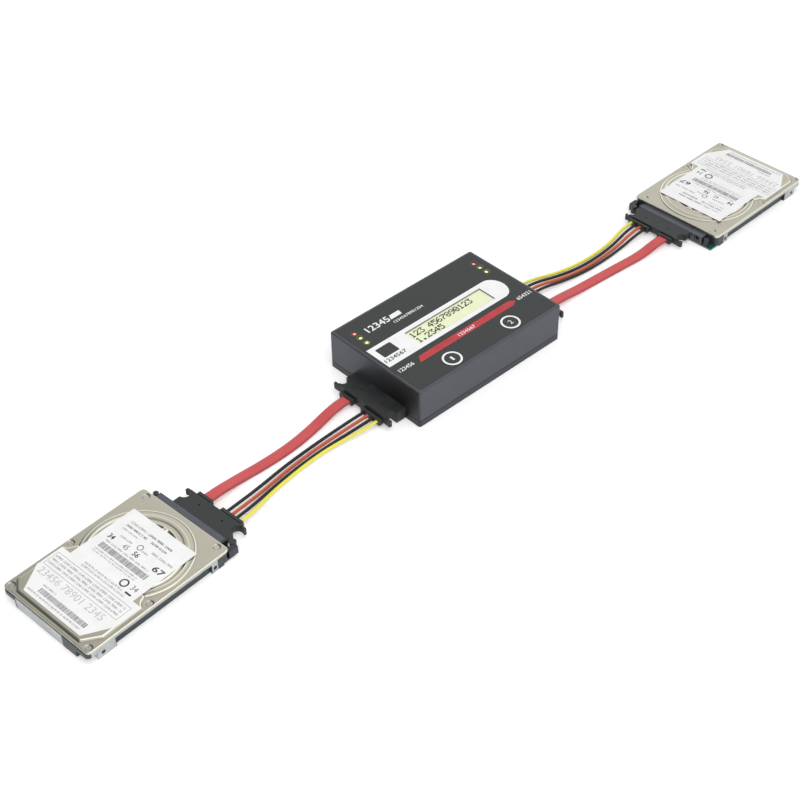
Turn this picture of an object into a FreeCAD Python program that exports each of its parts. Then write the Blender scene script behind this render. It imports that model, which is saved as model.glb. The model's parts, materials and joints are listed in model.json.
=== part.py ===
"""Pocket drive duplicator: control box, two SATA extension cables and two 2.5 inch drives.

Frame: origin at the centre of the box's underside, +X from the source drive to the target
drive, +Y to the back of the box, +Z up. Millimetres. Each cable and drive is placed by a
frame (x, y, yaw): a plug frame points its X axis into the box wall, and a drive frame has
its origin at the lid's connector edge, with its X axis pointing out of the connector.
"""
import FreeCAD, Part
import math
import os

V = FreeCAD.Vector

# ---------------------------------------------------------------- control box
BOX_LENGTH = 120.0
BOX_WIDTH = 79.0
BOX_HEIGHT = 26.7
WALL = 2.0
CORNER_R = 1.6
TOP_EDGE_R = 1.1
FOOT_CHAMFER = 0.4
FLOOR = 1.6
TOP_PLATE = 2.0
SEAM_Z = 4.6
SEAM_GROOVE = 0.35
LIP_RISE = 2.0
LIP_FIT = 0.15
FILM = 0.4
FILM_RIM = 1.9
FILM_FIT = 0.1

WINDOW_LENGTH = 64.0
WINDOW_WIDTH = 13.9
WINDOW_X = 3.7
WINDOW_Y = 0.2

BUTTON_X = (-24.0, 25.6)
BUTTON_FROM_FRONT = 9.9
BUTTON_Y = BUTTON_FROM_FRONT - BOX_WIDTH / 2
BUTTON_R = 6.5
BUTTON_GAP = 0.25
BUTTON_TRAVEL = 0.5
KEY_R = 6.1
COLLAR_WALL = 1.5
COLLAR_DROP = 5.0
KEY_FLANGE = 1.2
KEY_FLANGE_R = 7.3
KEY_STEM_R = 2.2

LED_R = 1.5
LED_FIT = 0.1
LED_LENGTH = 5.4
LED_FROM_END = (9.7, 8.5)
LED_X = (LED_FROM_END[0] - BOX_LENGTH / 2, BOX_LENGTH / 2 - LED_FROM_END[1])
LED_FROM_BACK = 17.3
LED_Y = BOX_WIDTH / 2 - LED_FROM_BACK
LED_PITCH = 5.6
LED_LEG = 0.5
LED_LEG_PITCH = 2.54

BOSS_INSET = 6.5
BOSS_R = 3.2
TRAY_BOSS_R = 3.6
BOSS_TOP = 4.0
BOSS_PILOT_R = 1.2
CASE_SCREW_R = 1.15
CASE_SCREW_HEAD_R = 2.5
CASE_SCREW_HEAD = 1.6
CASE_SCREW_RECESS = 2.0
CASE_SCREW_LENGTH = 9.0
SCREW_FIT = 0.2
THREAD_FIT = 0.05

# ---------------------------------------------------------------- boards inside the box
BOARD = 1.6
BOARD_Z = 3.6
BOARD_GAP = 1.0
STANDOFF_FROM_END = 18.0
STANDOFF_X = BOX_LENGTH / 2 - STANDOFF_FROM_END
STANDOFF_FROM_SIDE = 7.5
STANDOFF_Y = BOX_WIDTH / 2 - STANDOFF_FROM_SIDE
STANDOFF_R = 2.5
BOARD_SCREW_R = 0.85
BOARD_SCREW_HEAD_R = 2.1
BOARD_SCREW_HEAD = 1.3
BOARD_SCREW_LENGTH = 3.0

CONTROLLER = 20.0
CONTROLLER_X = -8.0
MEMORY_LENGTH = 22.0
MEMORY_WIDTH = 10.2
MEMORY_X = 22.0
CHIP_ROW_Y = 4.0
FLASH_LENGTH = 8.0
FLASH_WIDTH = 5.3
FLASH_X = 12.0
CRYSTAL_LENGTH = 11.0
CRYSTAL_WIDTH = 4.6
CRYSTAL_HEIGHT = 3.4
CRYSTAL_X = -12.0
SMALL_ROW_Y = -14.0
BRIDGE_CHIP = 9.0
BRIDGE_FROM_END = 22.0
CHIP_HEIGHT = 1.5
CHIP_CORNER_R = 0.3
CAPACITOR_R = 3.15
CAPACITOR_HEIGHT = 8.5
CAPACITOR_EDGE_R = 0.6
CAPACITOR_PITCH = 9.0
COIL = 8.0
COIL_HEIGHT = 4.0
COIL_CORNER_R = 1.5
SUPPLY_FROM_BACK = 11.5

SWITCH_SIZE = 6.0
SWITCH_HEIGHT = 3.5
PLUNGER_R = 1.7
PLUNGER_RISE = 3.0
PLUNGER_DEPTH = 1.2

LCD_BOARD_LENGTH = 80.0
LCD_BOARD_WIDTH = 36.0
LCD_HOLE_X = 75.0
LCD_HOLE_Y = 31.0
LCD_BEZEL_LENGTH = 71.2
LCD_BEZEL_WIDTH = 24.4
LCD_BEZEL_HEIGHT = 6.5
LCD_BEZEL_SHEET = 0.4
LCD_FIT = 0.2
LCD_GLASS = 2.2
LCD_POST_R = 2.4
LCD_PIN_COUNT = 16
LCD_PIN_PITCH = 2.54
LCD_PIN = 0.64
HEADER_WIDTH = 2.4
HEADER_HEIGHT = 2.5

JACK_FROM_END = 30.0
JACK_X = BOX_LENGTH / 2 - JACK_FROM_END
JACK_WIDTH = 9.0
JACK_DEPTH = 13.0
JACK_HEIGHT = 11.0
JACK_AXIS = 6.5
JACK_NECK_R = 3.9
JACK_BORE_R = 3.15
JACK_BORE_DEPTH = 9.5
JACK_PIN_R = 1.0
JACK_SET_BACK = 0.3

# ---------------------------------------------------------------- SATA connector family
PIN_PITCH = 1.27
DATA_PIN_COUNT = 7
POWER_PIN_COUNT = 15
DATA_T = 12.07
POWER_T = -7.0
DATA_TONGUE = 10.0
POWER_TONGUE = 20.4
TONGUE = 1.2
TONGUE_FOOT = 1.3
TONGUE_FIT = 0.15
CONTACT_WIDTH = 0.7
CONTACT = 0.15
BEAM = 0.2
BEAM_GAP = 0.05
SLOT_RISE = CONTACT + BEAM_GAP + BEAM

SOCKET_Y = -5.0
SOCKET_Z = BOARD_Z + BOARD / 2
NOSE_WIDTH = 37.6
NOSE_HEIGHT = 5.0
NOSE_LENGTH = 4.7
NOSE_R = 0.5
NOSE_FIT = 0.2
SOCKET_BODY_WIDTH = 41.0
SOCKET_BODY_HEIGHT = 5.4
SOCKET_BODY_DEPTH = 7.8
SLOT_DEPTH = 6.0
TAIL_LENGTH = 3.0

PLUG_WIDTH = 44.8
PLUG_HEIGHT = 8.0
PLUG_BLOCK = 7.0
PLUG_LENGTH = 14.8
PLUG_PLATE = 5.0
PLUG_CAVITY = 5.0
PLUG_CAVITY_FIT = 0.3
PLUG_TONGUE_SET_BACK = 0.6
PLUG_NOTCH_S = 10.3
PLUG_HOOK_TIP = 24.8
PLUG_RELIEF = 2.8
PLUG_CABLE_Z = 4.2

HEAD_FRONT = 5.2
HEAD_T = -4.8
HEAD_Z = 4.9
HEAD_WIDTH = 43.5
HEAD_HEIGHT = 4.8
HEAD_BLOCK = 5.0
HEAD_LENGTH = 12.8
HEAD_NOTCH_S = 8.5
HEAD_HOOK_TIP = 23.9
HEAD_RELIEF = 2.8
HEAD_CABLE_Z = 4.5

NOTCH_R = 3.3
NOTCH_INSET = 0.6
HOLE_R = 0.6
HOLE_T = (8.2, -10.0)
HOLE_S = 7.6
RELIEF_HEIGHT = 4.2
RELIEF_EDGE_R = 0.6
RELIEF_GAP = 0.9
RELIEF_GAP_DEPTH = 1.2
DATA_RELIEF = (5.6, 16.8)
POWER_RELIEF = (-18.8, -2.0)
PLATE_EDGE_R = 0.5
HOOK_DROP = 1.0
HOOK_ARM = 3.2
HOOK_ROOT = 4.5
HOOK_TIP_WIDTH = 1.5
HOOK_BARB = 0.5

# ---------------------------------------------------------------- cables
WIRE_R = 1.0
WIRE_T = {"black_wire_1": -4.8, "red_wire": -8.6, "black_wire_2": -12.4, "yellow_wire": -16.1}
RIBBON_T = 10.6
RIBBON_WIDTH = 7.4
RIBBON_HEIGHT = 1.9
LEAD = 9.0

# ---------------------------------------------------------------- 2.5 inch drive
DRIVE_WIDTH = 69.85
LID_LENGTH = 96.8
LID_TOP = 9.4
LID = 1.5
LID_CORNER_R = 2.5
LID_EDGE_R = 0.35
LABEL = 0.1
LABEL_NEAR = 14.7
LABEL_PANEL_Y = 25.5
LABEL_WING = 59.1
LABEL_WING_Y = 32.3
LABEL_TAPER = LID_LENGTH - 20.8
LABEL_FAR = LID_LENGTH - 4.8
LABEL_END_Y = 23.1
BASE_INSET = 0.35
SIDE_RELIEF = 1.8
SIDE_RELIEF_X = (17.8 - LID_LENGTH, -12.9)
SIDE_RELIEF_TOP = 5.8
BASE_NEAR = 0.6
BASE_FAR = LID_LENGTH + 0.4
FAR_CORNER = LID_LENGTH - 5.8
FAR_CORNER_Y = 25.0
FAR_CORNER_TOP = 4.8
DRIVE_BOARD = 1.0
DRIVE_BOARD_Z = 0.5
DRIVE_BOARD_WIDTH = 54.0
DRIVE_BOARD_X = (-58.0, 4.6)
BOARD_WING_X = -4.0
BOARD_WING_Y = 34.0
BOARD_POCKET_FIT = 0.3
STRIP_OUT = 3.4
STRIP_IN = 2.2
STRIP_Y = (-27.5, 26.6)
STRIP_TOP = 7.4
STRIP_SHELF = 5.1
STRIP_FIT = 0.15
TONGUE_TIP = 10.2
EAR_TOP = 6.8
BACK_POST_R = 1.7
BACK_POST = (3.4, 29.0)
FRONT_POST_R = 2.0
FRONT_POST = (6.6, -30.2)
FRONT_EAR_X = (-0.2, 6.2)
FRONT_EAR_Y = (-34.6, -31.2)
FRONT_EAR_TOP = 6.5
EAR_BRIDGE_X = (2.4, 4.4)
EAR_BRIDGE = 2.0
JUMPER_Y = 21.2
JUMPER_PITCH = 2.0
JUMPER_PIN = 0.5
JUMPER_POCKET_X = 1.9
JUMPER_POCKET = 4.2
JUMPER_SET_BACK = 0.2
BOLT_R = 1.25
BOLT_DEPTH = 2.5
SIDE_BOLT_DEPTH = 2.2
BOLT_FROM_END = (14.0, 90.6)
BOLT_Y = 30.86
SIDE_BOLT_Z = 3.0
LID_SCREW_FROM_FAR = 3.2
LID_SCREW_X = (-3.6, -53.7, LID_SCREW_FROM_FAR - LID_LENGTH)
LID_SCREW_Y = (28.7, 32.2, 31.6)
LID_SCREW_R = 1.7
LID_SCREW_HEAD = 0.5
LID_SCREW_SEAT = 0.4
LID_SCREW_SHANK = 1.0
LID_SCREW_LENGTH = 3.0
LID_SCREW_SEAT_Z = LID_TOP - LID_SCREW_SEAT - LID_SCREW_HEAD
DISC_X = -36.2
DISC_R = 33.2
DISC_GROOVE = 1.1
LID_GROOVE_DEPTH = 0.3
DISC_STEP_R = (31.6, 29.0, 26.4)
PLATEAU = 1.0
PLATEAU_TOP = LID_TOP + PLATEAU
PLATEAU_Y = 32.6
PLATEAU_NEAR = 52.0
PLATEAU_NEAR_Y = 27.0
PLATEAU_WING = 58.6
PLATEAU_BACK = LID_LENGTH - 7.8
PLATEAU_FAR = LID_LENGTH - 2.2
PLATEAU_FAR_Y = 25.5
PLATEAU_FRONT = LID_LENGTH - 12.5

BOX_TOP = BOX_HEIGHT - FILM
CEILING = BOX_HEIGHT - TOP_PLATE
BOARD_TOP = BOARD_Z + BOARD
LIP_TOP = SEAM_Z + LIP_RISE
LCD_BOARD_TOP = CEILING - LCD_BEZEL_HEIGHT
LCD_BOARD_Z = LCD_BOARD_TOP - BOARD
SWITCH_TOP = BOARD_TOP + SWITCH_HEIGHT
PLUNGER_TOP = SWITCH_TOP + PLUNGER_RISE
LED_BASE = BOX_HEIGHT - LED_LENGTH
PLUG_FRAMES = {"source": (-BOX_LENGTH / 2, SOCKET_Y, 0.0), "target": (BOX_LENGTH / 2, SOCKET_Y, 180.0)}
DRIVE_FRAMES = {"source": (-209.2, -10.8, 4.6), "target": (205.1, -13.0, 181.7)}

# Middle points of each free wire, between the leads that the connectors set.
ROUTES = {
    "source": {
        "data_cable": [(-107, 2.2, 1.6), (-126, -0.6, 1.3), (-146, -1.1, 1.2), (-165, -0.4, 1.4)],
        "black_wire_1": [(-105, -8.6, 2.0), (-122, -9.0, 1.3), (-140, -10.6, 1.4), (-160, -13.8, 1.6)],
        "red_wire": [(-106, -12.2, 2.2), (-124, -12.4, 1.4), (-142, -14.2, 1.3), (-161, -17.6, 1.6)],
        "black_wire_2": [(-107, -15.4, 2.0), (-125, -15.4, 1.3), (-143, -17.3, 1.4), (-162, -20.6, 1.5)],
        "yellow_wire": [(-106, -18.2, 2.9), (-123, -17.8, 2.2), (-142, -19.8, 2.0), (-161, -23.2, 2.4)],
    },
    "target": {
        "data_cable": [(106, -15.4, 1.5), (125, -16.2, 1.2), (145, -17.6, 1.3), (163, -19.0, 1.5)],
        "black_wire_1": [(105, -3.2, 2.0), (124, -5.6, 1.3), (143, -5.8, 1.4), (162, -4.4, 1.6)],
        "red_wire": [(104, -0.4, 2.2), (122, -3.0, 1.4), (142, -3.0, 1.3), (161, -1.4, 1.6)],
        "black_wire_2": [(105, 3.0, 2.0), (124, 0.0, 1.3), (142, -0.2, 1.4), (160, 1.6, 1.6)],
        "yellow_wire": [(104, 6.6, 2.2), (122, 3.4, 1.5), (141, 2.8, 1.3), (160, 4.6, 1.6)],
    },
}


# ---------------------------------------------------------------- small helpers
def block(x0, x1, y0, y1, z0, z1):
    """A plain box between two corners, in any order along each axis."""
    low = V(min(x0, x1), min(y0, y1), min(z0, z1))
    return Part.makeBox(abs(x1 - x0), abs(y1 - y0), abs(z1 - z0), low)


def slab(length, width, z0, z1, radius, x=0.0, y=0.0):
    """A plate centred on x, y with rounded upright corners."""
    plate = block(x - length / 2, x + length / 2, y - width / 2, y + width / 2, z0, z1)
    uprights = [edge for edge in plate.Edges if edge.BoundBox.ZLength > abs(z1 - z0) / 2]
    return plate.makeFillet(radius, uprights)


def rod(radius, z0, z1, x=0.0, y=0.0):
    """An upright cylinder."""
    return Part.makeCylinder(radius, abs(z1 - z0), V(x, y, min(z0, z1)))


def prism(points, z0, z1):
    """A flat outline of x, y points pulled up from z0 to z1."""
    corners = [V(x, y, z0) for x, y in points]
    outline = Part.makePolygon(corners + [corners[0]])
    return Part.Face(outline).extrude(V(0, 0, z1 - z0))


def round_edges(shape, radius, chosen):
    """Fillet the edges that the test picks."""
    return shape.makeFillet(radius, [edge for edge in shape.Edges if chosen(edge)])


def level_edges(z):
    """A test for edges that lie flat at height z."""
    return lambda edge: edge.BoundBox.ZLength < 1e-6 and abs(edge.BoundBox.ZMin - z) < 1e-6


def fused(first, others):
    """One solid from touching shapes."""
    return first.fuse(others).removeSplitter()


def placed(shape, frame):
    """A copy of a shape moved from a local frame (x, y, yaw) into the part's frame."""
    x, y, yaw = frame
    copy = shape.copy()
    copy.Placement = FreeCAD.Placement(V(x, y, 0), FreeCAD.Rotation(V(0, 0, 1), yaw))
    return copy


def point_in(frame, x, y, z):
    """A local point in the part's frame."""
    turn = FreeCAD.Rotation(V(0, 0, 1), frame[2])
    return turn.multVec(V(x, y, z)) + V(frame[0], frame[1], 0)


def save(node, shape):
    """Write one node's STEP file."""
    shape.exportStep("parts/" + node + ".step")


def corners_of(x, y):
    """The four mirrored places at plus and minus x, y."""
    return [(i * x, j * y) for i in (-1, 1) for j in (-1, 1)]


# ---------------------------------------------------------------- control box
def case_screw_places():
    return corners_of(BOX_LENGTH / 2 - BOSS_INSET, BOX_WIDTH / 2 - BOSS_INSET)


def socket_openings():
    """The two end-wall holes that the socket noses pass through."""
    cuts = []
    for frame in PLUG_FRAMES.values():
        width = NOSE_WIDTH + 2 * NOSE_FIT
        low = SOCKET_Z - NOSE_HEIGHT / 2 - NOSE_FIT
        high = SOCKET_Z + NOSE_HEIGHT / 2 + NOSE_FIT
        cuts.append(placed(block(-1, WALL + 1, -width / 2, width / 2, low, high), frame))
    return cuts


def bottom_tray():
    tray = slab(BOX_LENGTH, BOX_WIDTH, 0, SEAM_Z, CORNER_R)
    tray = tray.makeChamfer(FOOT_CHAMFER, [edge for edge in tray.Edges if level_edges(0)(edge)])
    lip_inset = WALL / 2 + LIP_FIT
    lip = slab(BOX_LENGTH - 2 * lip_inset, BOX_WIDTH - 2 * lip_inset, FLOOR, LIP_TOP, CORNER_R - WALL / 2)
    hollow = slab(BOX_LENGTH - 2 * WALL, BOX_WIDTH - 2 * WALL, FLOOR, LIP_TOP + 1, CORNER_R / 2)
    tray = tray.fuse(lip).cut(hollow)
    standoffs = [rod(STANDOFF_R, FLOOR, BOARD_Z, x, y) for x, y in corners_of(STANDOFF_X, STANDOFF_Y)]
    bosses = [rod(TRAY_BOSS_R, FLOOR, BOSS_TOP, x, y) for x, y in case_screw_places()]
    tray = fused(tray, standoffs + bosses)
    pilot_z = BOARD_TOP - BOARD_SCREW_LENGTH - SCREW_FIT
    cuts = []
    for x, y in corners_of(STANDOFF_X, STANDOFF_Y):
        cuts.append(rod(BOARD_SCREW_R + THREAD_FIT, pilot_z, BOARD_Z, x, y))
    for x, y in case_screw_places():
        cuts.append(rod(CASE_SCREW_HEAD_R + SCREW_FIT, 0, CASE_SCREW_RECESS, x, y))
        cuts.append(rod(CASE_SCREW_R + SCREW_FIT, 0, BOSS_TOP, x, y))
    return tray.cut(cuts + socket_openings())


def cover_ribs():
    """Bosses, button collars and display posts moulded under the cover's top."""
    ribs = [rod(BOSS_R, BOSS_TOP, CEILING, x, y) for x, y in case_screw_places()]
    for x in BUTTON_X:
        ribs.append(rod(KEY_R + BUTTON_GAP + COLLAR_WALL, CEILING - COLLAR_DROP, CEILING, x, BUTTON_Y))
    for x, y in lcd_hole_places():
        ribs.append(rod(LCD_POST_R, LCD_BOARD_TOP, CEILING, x, y))
    return ribs


def cover_cuts():
    """Everything that opens the cover's top and bosses."""
    cuts = [slab(BOX_LENGTH - 2 * FILM_RIM, BOX_WIDTH - 2 * FILM_RIM, BOX_TOP, BOX_HEIGHT + 1, CORNER_R)]
    cuts.append(slab(WINDOW_LENGTH, WINDOW_WIDTH, CEILING - 1, BOX_HEIGHT, 0.6, WINDOW_X, WINDOW_Y))
    for x in BUTTON_X:
        cuts.append(rod(BUTTON_R + BUTTON_GAP, CEILING, BOX_HEIGHT, x, BUTTON_Y))
        cuts.append(rod(KEY_R + BUTTON_GAP, CEILING - COLLAR_DROP, CEILING, x, BUTTON_Y))
    for x, y in led_places():
        cuts.append(rod(LED_R + LED_FIT, CEILING, BOX_HEIGHT, x, y))
    for x, y in case_screw_places():
        cuts.append(rod(BOSS_PILOT_R, BOSS_TOP, BOSS_TOP + CASE_SCREW_LENGTH, x, y))
    for x, y in lcd_hole_places():
        cuts.append(rod(BOARD_SCREW_R + THREAD_FIT, LCD_BOARD_TOP, CEILING - 1, x, y))
    return cuts


def top_cover():
    low = SEAM_Z + SEAM_GROOVE
    cover = slab(BOX_LENGTH, BOX_WIDTH, low, BOX_HEIGHT, CORNER_R)
    cover = round_edges(cover, TOP_EDGE_R, level_edges(BOX_HEIGHT))
    inside = slab(BOX_LENGTH - 2 * WALL, BOX_WIDTH - 2 * WALL, low - 1, CEILING, CORNER_R / 2)
    rebate = slab(BOX_LENGTH - WALL, BOX_WIDTH - WALL, low - 1, LIP_TOP, CORNER_R / 2)
    cover = fused(cover.cut([inside, rebate]), cover_ribs())
    back = V(JACK_X, BOX_WIDTH / 2 - WALL - 1, BOARD_TOP + JACK_AXIS)
    jack_hole = Part.makeCylinder(JACK_NECK_R + SCREW_FIT, WALL + 2, back, V(0, 1, 0))
    return cover.cut(cover_cuts() + socket_openings() + [jack_hole])


def front_overlay():
    """The printed polycarbonate film laid into the cover's recess."""
    inset = FILM_RIM + FILM_FIT
    film = slab(BOX_LENGTH - 2 * inset, BOX_WIDTH - 2 * inset, BOX_TOP, BOX_HEIGHT, CORNER_R - FILM_FIT)
    cuts = [slab(WINDOW_LENGTH, WINDOW_WIDTH, BOX_TOP, BOX_HEIGHT, 0.6, WINDOW_X, WINDOW_Y)]
    for x in BUTTON_X:
        cuts.append(rod(BUTTON_R + BUTTON_GAP, BOX_TOP, BOX_HEIGHT, x, BUTTON_Y))
    for x, y in led_places():
        cuts.append(rod(LED_R + LED_FIT, BOX_TOP, BOX_HEIGHT, x, y))
    return film.cut(cuts)


def button_pad(x):
    return rod(BUTTON_R, BOX_TOP, BOX_HEIGHT, x, BUTTON_Y)


def button_key(x):
    """The moulded key under a pad: a guided drum, a stop flange and a stem down to the switch."""
    drum_low = CEILING - COLLAR_DROP - BUTTON_GAP
    drum = rod(KEY_R, drum_low, BOX_TOP, x, BUTTON_Y)
    flange = rod(KEY_FLANGE_R, drum_low - KEY_FLANGE, drum_low, x, BUTTON_Y)
    stem = rod(KEY_STEM_R, PLUNGER_TOP, drum_low, x, BUTTON_Y)
    return fused(drum, [flange, stem])


def switch_plunger(x):
    return rod(PLUNGER_R, SWITCH_TOP - PLUNGER_DEPTH, PLUNGER_TOP, x, BUTTON_Y)


def tact_switches():
    bodies = []
    for x in BUTTON_X:
        body = slab(SWITCH_SIZE, SWITCH_SIZE, BOARD_TOP, SWITCH_TOP, 0.4, x, BUTTON_Y)
        well = SWITCH_TOP - PLUNGER_DEPTH - BUTTON_TRAVEL - 0.2
        bodies.append(body.cut(rod(PLUNGER_R + 0.1, well, SWITCH_TOP, x, BUTTON_Y)))
    return Part.makeCompound(bodies)


# ---------------------------------------------------------------- lights
def led_places():
    return [(x, LED_Y + row * LED_PITCH) for x in LED_X for row in (1, 0, -1)]


def led_body(x, y):
    """A 3 mm lamp with a domed lens and a rim at its foot."""
    barrel = rod(LED_R, LED_BASE, BOX_HEIGHT - LED_R, x, y)
    dome = Part.makeSphere(LED_R, V(x, y, BOX_HEIGHT - LED_R))
    rim = rod(LED_R + 0.3, LED_BASE, LED_BASE + 0.8, x, y)
    return fused(barrel, [dome, rim])


def leds(rows):
    places = [(x, LED_Y + row * LED_PITCH) for x in LED_X for row in rows]
    return Part.makeCompound([led_body(x, y) for x, y in places])


def led_legs():
    legs = []
    half = LED_LEG / 2
    for x, y in led_places():
        for side in (-1, 1):
            middle = x + side * LED_LEG_PITCH / 2
            legs.append(block(middle - half, middle + half, y - half, y + half, BOARD_TOP, LED_BASE))
    return Part.makeCompound(legs)


# ---------------------------------------------------------------- boards
def main_board():
    """The main board: corners cleared for the case bosses, ends cut for the straddling sockets."""
    length = BOX_LENGTH - 2 * (WALL + BOARD_GAP)
    width = BOX_WIDTH - 2 * (WALL + BOARD_GAP)
    board = block(-length / 2, length / 2, -width / 2, width / 2, BOARD_Z, BOARD_TOP)
    reach = TRAY_BOSS_R + 0.4
    cuts = []
    for x, y in case_screw_places():
        near = (abs(x) - reach) * math.copysign(1, x)
        side = (abs(y) - reach) * math.copysign(1, y)
        far = BOX_LENGTH / 2 * math.copysign(1, x)
        edge = BOX_WIDTH / 2 * math.copysign(1, y)
        cuts.append(block(near, far, side, edge, BOARD_Z, BOARD_TOP))
    for frame in PLUG_FRAMES.values():
        half = SOCKET_BODY_WIDTH / 2 + NOSE_FIT
        back = WALL + NOSE_FIT + SOCKET_BODY_DEPTH
        cuts.append(placed(block(-1, back, -half, half, BOARD_Z, BOARD_TOP), frame))
    for x, y in corners_of(STANDOFF_X, STANDOFF_Y):
        cuts.append(rod(BOARD_SCREW_R + 2 * SCREW_FIT, BOARD_Z, BOARD_TOP, x, y))
    return board.cut(cuts)


def board_chips():
    """Copy controller, memory, flash, a bridge chip by each socket and a crystal."""
    case = (BOARD_TOP, BOARD_TOP + CHIP_HEIGHT, CHIP_CORNER_R)
    chips = [slab(CONTROLLER, CONTROLLER, *case, CONTROLLER_X, CHIP_ROW_Y)]
    chips.append(slab(MEMORY_LENGTH, MEMORY_WIDTH, *case, MEMORY_X, CHIP_ROW_Y))
    chips.append(slab(FLASH_LENGTH, FLASH_WIDTH, *case, FLASH_X, SMALL_ROW_Y))
    bridge_x = BOX_LENGTH / 2 - BRIDGE_FROM_END
    for x in (-bridge_x, bridge_x):
        chips.append(slab(BRIDGE_CHIP, BRIDGE_CHIP, *case, x, SOCKET_Y))
    can = (BOARD_TOP, BOARD_TOP + CRYSTAL_HEIGHT, CRYSTAL_WIDTH / 2 - 0.1)
    chips.append(slab(CRYSTAL_LENGTH, CRYSTAL_WIDTH, *can, CRYSTAL_X, SMALL_ROW_Y))
    return Part.makeCompound(chips)


def board_capacitors():
    """Two supply capacitors and a power coil in a row beside the jack."""
    cans = []
    y = BOX_WIDTH / 2 - SUPPLY_FROM_BACK
    top = BOARD_TOP + CAPACITOR_HEIGHT
    first = JACK_X - JACK_WIDTH / 2 - CAPACITOR_PITCH
    for i in range(2):
        can = rod(CAPACITOR_R, BOARD_TOP, top, first - i * CAPACITOR_PITCH, y)
        cans.append(round_edges(can, CAPACITOR_EDGE_R, level_edges(top)))
    coil_x = first - 2 * CAPACITOR_PITCH - COIL / 2
    cans.append(slab(COIL, COIL, BOARD_TOP, BOARD_TOP + COIL_HEIGHT, COIL_CORNER_R, coil_x, y))
    return Part.makeCompound(cans)


def screw(x, y, seat, head_r, head, shank_r, length, down):
    """A pan-head screw: the head stands on the seat and the shank runs the other way."""
    way = -1 if down else 1
    cap = rod(head_r, seat, seat - way * head, x, y)
    shank = rod(shank_r, seat, seat + way * length, x, y)
    return fused(cap, [shank])


def case_screws():
    screws = []
    for x, y in case_screw_places():
        args = (CASE_SCREW_HEAD_R, CASE_SCREW_HEAD, CASE_SCREW_R, CASE_SCREW_LENGTH, False)
        screws.append(screw(x, y, CASE_SCREW_RECESS, *args))
    return Part.makeCompound(screws)


def board_screws():
    args = (BOARD_SCREW_HEAD_R, BOARD_SCREW_HEAD, BOARD_SCREW_R, BOARD_SCREW_LENGTH, True)
    places = corners_of(STANDOFF_X, STANDOFF_Y)
    return Part.makeCompound([screw(x, y, BOARD_TOP, *args) for x, y in places])


# ---------------------------------------------------------------- display
def lcd_bezel():
    """The folded steel frame: an open-bottomed tray with the viewing window in its top."""
    sheet = LCD_BEZEL_SHEET
    args = (LCD_BOARD_TOP, CEILING, 0.8, WINDOW_X, WINDOW_Y)
    frame = slab(LCD_BEZEL_LENGTH, LCD_BEZEL_WIDTH, *args)
    inner = (LCD_BEZEL_LENGTH - 2 * sheet, LCD_BEZEL_WIDTH - 2 * sheet)
    inside = slab(*inner, LCD_BOARD_TOP, CEILING - sheet, 0.5, WINDOW_X, WINDOW_Y)
    view = slab(WINDOW_LENGTH + 0.6, WINDOW_WIDTH + 0.6, CEILING - sheet, CEILING, 0.5, WINDOW_X, WINDOW_Y)
    return frame.cut([inside, view])


def lcd_stack(z0, z1):
    """A plate that fits inside the bezel."""
    length = LCD_BEZEL_LENGTH - 2 * (LCD_BEZEL_SHEET + LCD_FIT)
    width = LCD_BEZEL_WIDTH - 2 * (LCD_BEZEL_SHEET + LCD_FIT)
    return slab(length, width, z0, z1, LCD_FIT, WINDOW_X, WINDOW_Y)


def lcd_glass():
    return lcd_stack(CEILING - LCD_BEZEL_SHEET - LCD_GLASS, CEILING - LCD_BEZEL_SHEET)


def lcd_backlight():
    return lcd_stack(LCD_BOARD_TOP, CEILING - LCD_BEZEL_SHEET - LCD_GLASS)


def lcd_hole_places():
    return [(WINDOW_X + x, WINDOW_Y + y) for x, y in corners_of(LCD_HOLE_X / 2, LCD_HOLE_Y / 2)]


def lcd_board():
    args = (LCD_BOARD_Z, LCD_BOARD_TOP, 0.5, WINDOW_X, WINDOW_Y)
    board = slab(LCD_BOARD_LENGTH, LCD_BOARD_WIDTH, *args)
    hole_r = BOARD_SCREW_R + 2 * SCREW_FIT
    return board.cut([rod(hole_r, LCD_BOARD_Z, LCD_BOARD_TOP, x, y) for x, y in lcd_hole_places()])


def lcd_header():
    """The pin header that stands between the main board and the display board."""
    half = LCD_PIN / 2
    first = WINDOW_X - LCD_PIN_PITCH * (LCD_PIN_COUNT - 1) / 2
    y = WINDOW_Y + LCD_HOLE_Y / 2
    pins = []
    for i in range(LCD_PIN_COUNT):
        x = first + i * LCD_PIN_PITCH
        pins.append(block(x - half, x + half, y - half, y + half, BOARD_TOP + 1, LCD_BOARD_Z - 1))
    reach = LCD_PIN_COUNT * LCD_PIN_PITCH / 2
    sides = (WINDOW_X - reach, WINDOW_X + reach, y - HEADER_WIDTH / 2, y + HEADER_WIDTH / 2)
    foot = block(*sides, BOARD_TOP, BOARD_TOP + HEADER_HEIGHT)
    head = block(*sides, LCD_BOARD_Z - HEADER_HEIGHT, LCD_BOARD_Z)
    return fused(foot, [head] + pins)


def lcd_screws():
    args = (BOARD_SCREW_HEAD_R, BOARD_SCREW_HEAD, BOARD_SCREW_R, BOARD_SCREW_LENGTH, False)
    return Part.makeCompound([screw(x, y, LCD_BOARD_Z, *args) for x, y in lcd_hole_places()])


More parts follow.
